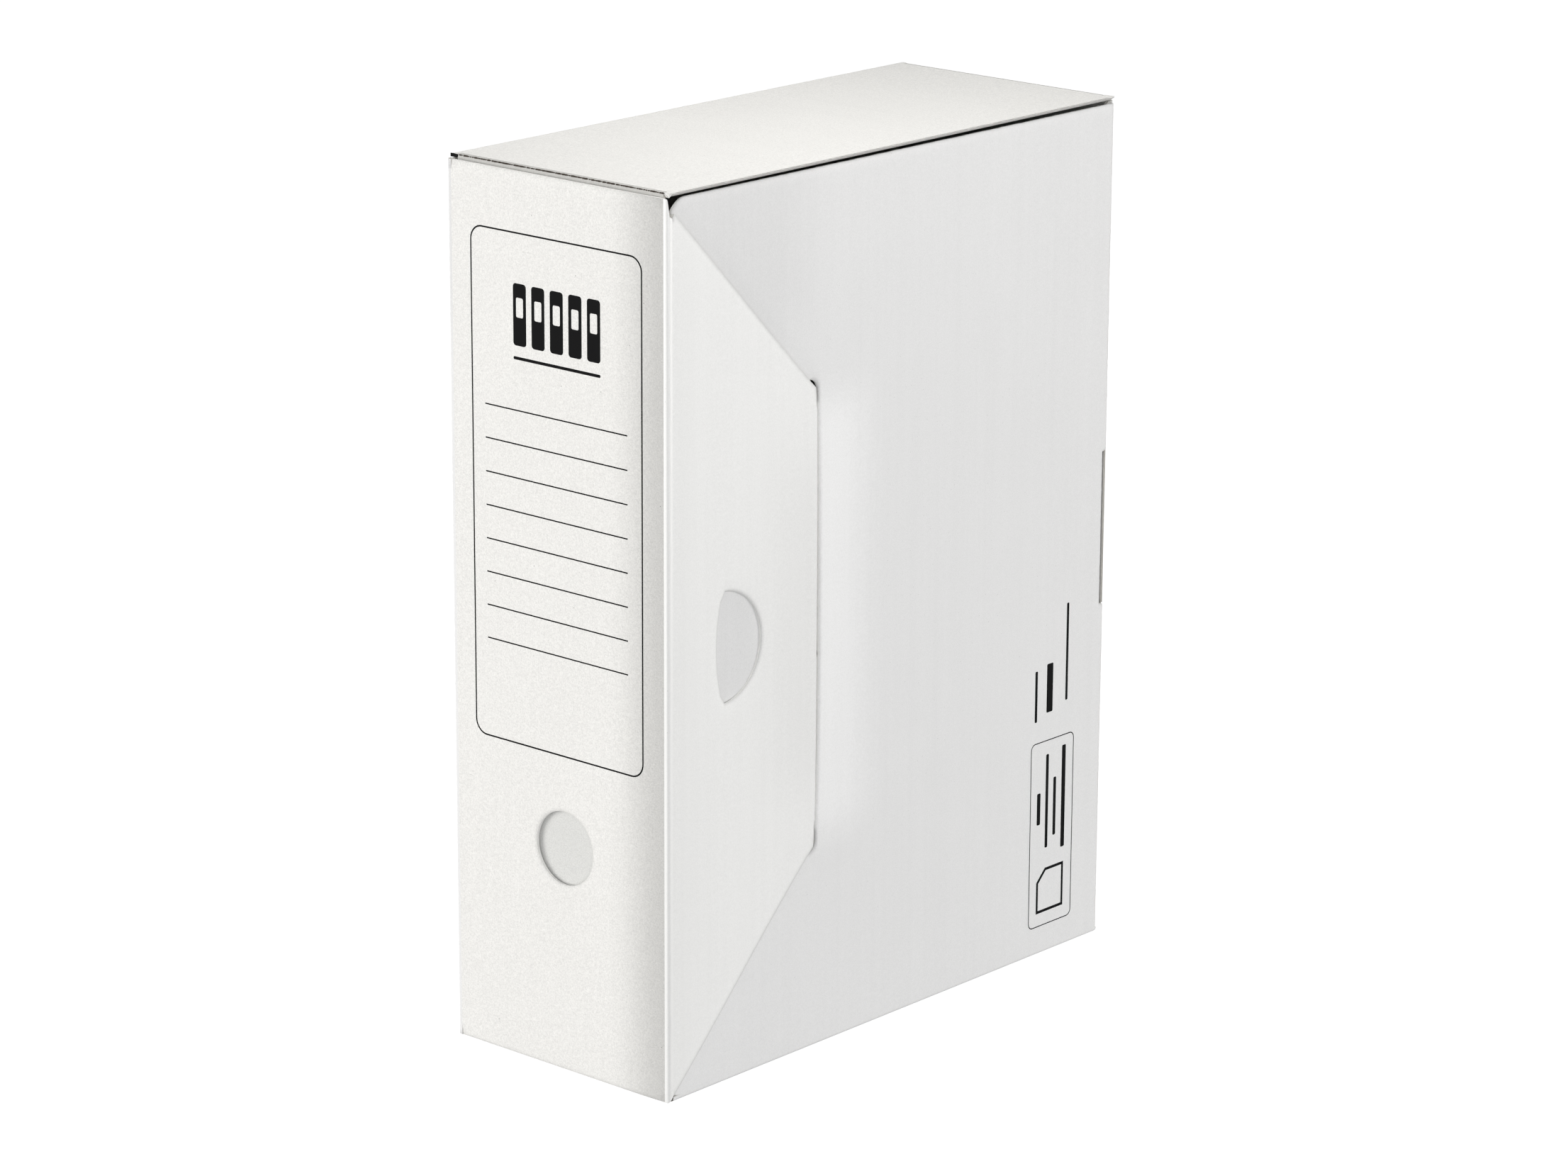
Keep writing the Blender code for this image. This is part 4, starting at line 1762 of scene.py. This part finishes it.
@dataclass
class DustFlap:
    """One of the four flaps that close the box's ends behind the spine and the back.

    Attributes:
        end: "front" or "rear".
        level: "top" or "bottom".
        taper: How much the tip's corners are cut off.
        taper_in: How much narrower the flap is than its crease.
        bow: How far the tip sinks into the box.
    """

    end: str
    level: str
    taper: float = 4.0
    taper_in: float = 2.2
    bow: float = 0.25

    def build(self, made: Finishes) -> None:
        """Makes the flap and its crease."""
        name = f"{self.level}_{self.end}_flap"
        body = f"{self.level}_{self.end}"
        low, high = box_mm(name)
        wall = Wall.FRONT if self.end == "front" else Wall.BACK
        face = low[1] if self.end == "front" else high[1]
        upwards = self.level == "top"
        lid_low, lid_high = box_mm(f"{self.level}_panel")
        lid_face = lid_high[2] if upwards else lid_low[2]
        down = -1 if upwards else 1
        root = lid_face + down * FOLD_REACH
        tip = low[2] if upwards else high[2]
        left, right, cut = low[0], high[0], self.taper
        outline = [
            (left, root, Rim.FOLD),
            (right, root, Rim.CUT),
            (right - self.taper_in, root + down * 3.0, Rim.CUT),
            (right - self.taper_in, tip - down * cut, Rim.CUT),
            (right - self.taper_in - cut, tip, Rim.CUT),
            (left + cut, tip, Rim.CUT),
            (left, tip - down * cut, Rim.CUT),
        ]
        if upwards:
            outline = [(u, v, Rim.CUT) for u, v, _ in outline[:1] + outline[:0:-1]]
            outline[-1] = (right, root, Rim.FOLD)
        length = abs(tip - root)

        def relief(u: Array, v: Array) -> Array:
            share = np.clip(np.abs(v - root) / length, 0, 1)
            return 0.02 + self.bow * share**2 + 0.35 * smooth(u, right - 26.0, right) * share

        sheet = Sheet(wall, face, outline, relief=relief, step=5.0)
        materials = Palette.board(made, "flap")
        dress(sheet.add_to(Bag()).piece(f"{name}_board", materials), body, [name])
        outward = -1 if self.end == "front" else 1
        along_lid = (0, -outward, 0)
        corner = (0.0, face, lid_face)
        crease = Crease(
            corner, along_lid, (0, 0, down), (1, 0, 0), (left, right), radius=1.2,
            relief_b=lambda s: 0.02 + 0.3 * max(0.0, 1.0 - s / FOLD_REACH),
        )
        piece = crease.add_to(Bag()).piece(f"{name}_crease", Palette.board(made, "crease"))
        dress_crease(piece, crease, ("box", body), "inner_board")


@dataclass
class CreaseNicks:
    """The row of small cuts that weakens the crease along the top's front edge, and a dark block for the shadow in
    the notch beside it.
    """

    shape: Shape
    pitch: float = 1.05
    length: float = 1.0

    def build(self, made: Finishes) -> None:
        """Makes the row."""
        low, high = box_mm("top_front_flap")
        top_low, top_high = box_mm("top_panel")
        section = [(0.0, -0.2), (self.length, -0.24), (self.length + 0.1, 0.2), (0.2, 0.25)]
        part = prism("nick", section, 0.16)
        count = int((high[0] - low[0]) / self.pitch)
        place = axes_at((low[0] + 0.4, top_low[1] + 0.34, top_high[2] - 0.34), (1, 0, 0), (0, -1, 1))
        row = Row("top_crease_nicks", count, self.pitch, jitter=0.3, seed=9).make(part, made["nick"], place)
        dress(row, "box")
        self._notch(made, top_low, top_high, low[0])

    def _notch(self, made: Finishes, top_low: Array, top_high: Array, flap: float) -> None:
        """A black block that stands for the shadow in the open notch between the left wall's crease and the flap:
        painted shadow.

        Args:
            made: The finishes.
            top_low: The top panel's lowest corner.
            top_high: The top panel's highest corner.
            flap: Where the flap starts.
        """
        left, right = top_low[0] + 0.1, flap - 0.1
        wide, tall = right - left, 0.62
        section = [(-wide / 2, -tall), (wide / 2, -tall), (wide / 2, tall), (-wide / 2, tall)]
        place = axes_at((left + wide / 2, top_low[1] + 0.2, top_high[2] - 0.75), (1, 0, 0), (0, -1, 0))
        # Painted shadow: a block in the print ink's black fills the notch.
        notch = Row("top_corner_notch", 1, 1.0).make(prism("notch", section, 0.3), made["ink"], place)
        dress(notch, "box")


@dataclass(frozen=True)
class SoftBox:
    """One studio light: a square panel that looks at the box.

    Attributes:
        name: The light's name.
        azimuth: Direction that it stands in, in degrees from the front towards the right.
        elevation: Its height above the horizon, in degrees.
        distance: How far it is from the box, in metres.
        size: Its side, in metres.
        power: Its power, in watts.
        colour: Its colour.
    """

    name: str
    azimuth: float
    elevation: float
    distance: float
    size: float
    power: float
    colour: Triple = (1.0, 1.0, 1.0)

    def make(self) -> Object:
        """Hangs the light."""
        data = bpy.data.lights.new(self.name, "AREA")
        data.shape = "SQUARE"
        data.size = self.size
        data.energy = self.power
        data.color = self.colour
        lamp = linked(self.name, data)
        turn, rise = math.radians(self.azimuth), math.radians(self.elevation)
        away = Vector((math.sin(turn) * math.cos(rise), -math.cos(turn) * math.cos(rise), math.sin(rise)))
        lamp.location = Vector(BOX_CENTRE) + away * self.distance
        lamp.rotation_euler = away.to_track_quat("Z", "Y").to_euler()
        return lamp


@dataclass
class Studio:
    """The pale floor, the soft light and the camera."""

    lens: float = 118.4
    eye: Triple = (1.1990, -1.3575, 0.6749)
    azimuth: float = 41.54
    elevation: float = 16.08
    roll: float = 0.28
    sky: float = 0.3
    lights: tuple[SoftBox, ...] = (
        SoftBox("left_softbox", -46.0, 0.0, 2.6, 1.6, 49.0, PAPER_WHITE),
        SoftBox("right_softbox", 138.0, 0.0, 2.6, 1.6, 35.0, PAPER_WHITE),
        SoftBox("front_softbox", 41.0, 6.0, 2.6, 1.9, 25.5, (1.0, 0.99, 0.975)),
        SoftBox("top_softbox", 60.0, 79.4, 0.515, 0.26, 0.97, PAPER_WHITE),
    )
    gleam: SoftBox = SoftBox("gleam_strip", 72.0, 12.0, 2.2, 1.1, 80.0)

    def build(self) -> None:
        """Sets up the whole studio."""
        self._camera()
        self._sky()
        self._floor()
        for light in self.lights:
            light.make()
        self.gleam.make().visible_diffuse = False
        bpy.context.scene.view_settings.view_transform = "Standard"

    def _camera(self) -> None:
        """The camera, at eye height to the front right of the box."""
        data = bpy.data.cameras.new("studio_camera")
        data.lens = self.lens
        data.sensor_width = 36.0
        data.clip_start = 0.05
        camera = linked("studio_camera", data)
        turn, tilt, roll = (math.radians(x) for x in (self.azimuth, 90.0 - self.elevation, self.roll))
        facing = Matrix.Rotation(turn, 4, "Z") @ Matrix.Rotation(tilt, 4, "X") @ Matrix.Rotation(roll, 4, "Z")
        camera.matrix_world = Matrix.Translation(self.eye) @ facing
        bpy.context.scene.camera = camera

    def _sky(self) -> None:
        """Even light from all round, which looks white."""
        world = bpy.data.worlds.new("studio_sky")
        bpy.context.scene.world = world
        world.use_nodes = True
        background = world.node_tree.nodes["Background"]
        background.inputs["Color"].default_value = (0.97, 0.985, 1.0, 1.0)
        background.inputs["Strength"].default_value = self.sky

    def _floor(self) -> None:
        """A wide white floor and a white dome that only the camera sees."""
        mesh = bpy.data.meshes.new("studio_floor")
        shape = bmesh.new()
        bmesh.ops.create_circle(shape, cap_ends=True, segments=64, radius=14.0)
        shape.to_mesh(mesh)
        shape.free()
        floor = bpy.data.objects.new("studio_floor", mesh)
        floor.location.z = -0.0004
        mesh.materials.append(self._glow("floor_paper", 0.28, 0.94))
        dome_mesh = bpy.data.meshes.new("studio_dome")
        shape = bmesh.new()
        bmesh.ops.create_uvsphere(shape, u_segments=48, v_segments=24, radius=15.0)
        bmesh.ops.reverse_faces(shape, faces=shape.faces)
        shape.to_mesh(dome_mesh)
        shape.free()
        dome = bpy.data.objects.new("studio_dome", dome_mesh)
        dome_mesh.materials.append(self._glow("dome_paper", 0.0, 1.0))
        for part in (floor, dome):
            bpy.context.scene.collection.objects.link(part)
            part.visible_diffuse = part.visible_glossy = part.visible_shadow = False
            part.visible_transmission = part.visible_volume_scatter = False

    @staticmethod
    def _glow(name: str, albedo: float, glow: float) -> Material:
        """White paper with some light of its own, so that shadows on it stay faint."""
        material = bpy.data.materials.new(name)
        material.use_nodes = True
        shader = material.node_tree.nodes["Principled BSDF"]
        shader.inputs["Base Color"].default_value = (albedo, albedo, albedo, 1.0)
        shader.inputs["Roughness"].default_value = 1.0
        shader.inputs["Specular IOR Level"].default_value = 0.0
        shader.inputs["Emission Color"].default_value = (1.0, 1.0, 1.0, 1.0)
        shader.inputs["Emission Strength"].default_value = glow
        return material


def main() -> None:
    """Builds the box from the walls outwards, then the studio."""
    logging.basicConfig(level=logging.INFO, format="%(name)s: %(message)s")
    made = Palette().make()
    shape = Shape()
    Shell(shape).build(made)
    RightWall(shape).build(made)
    SpinePanel(shape).build(made)
    ClosingTongue(shape).build(made)
    for end in ("front", "rear"):
        for level in ("top", "bottom"):
            DustFlap(end, level).build(made)
    CreaseNicks(shape).build(made)
    Studio().build()


if __name__ == "__main__":
    main()
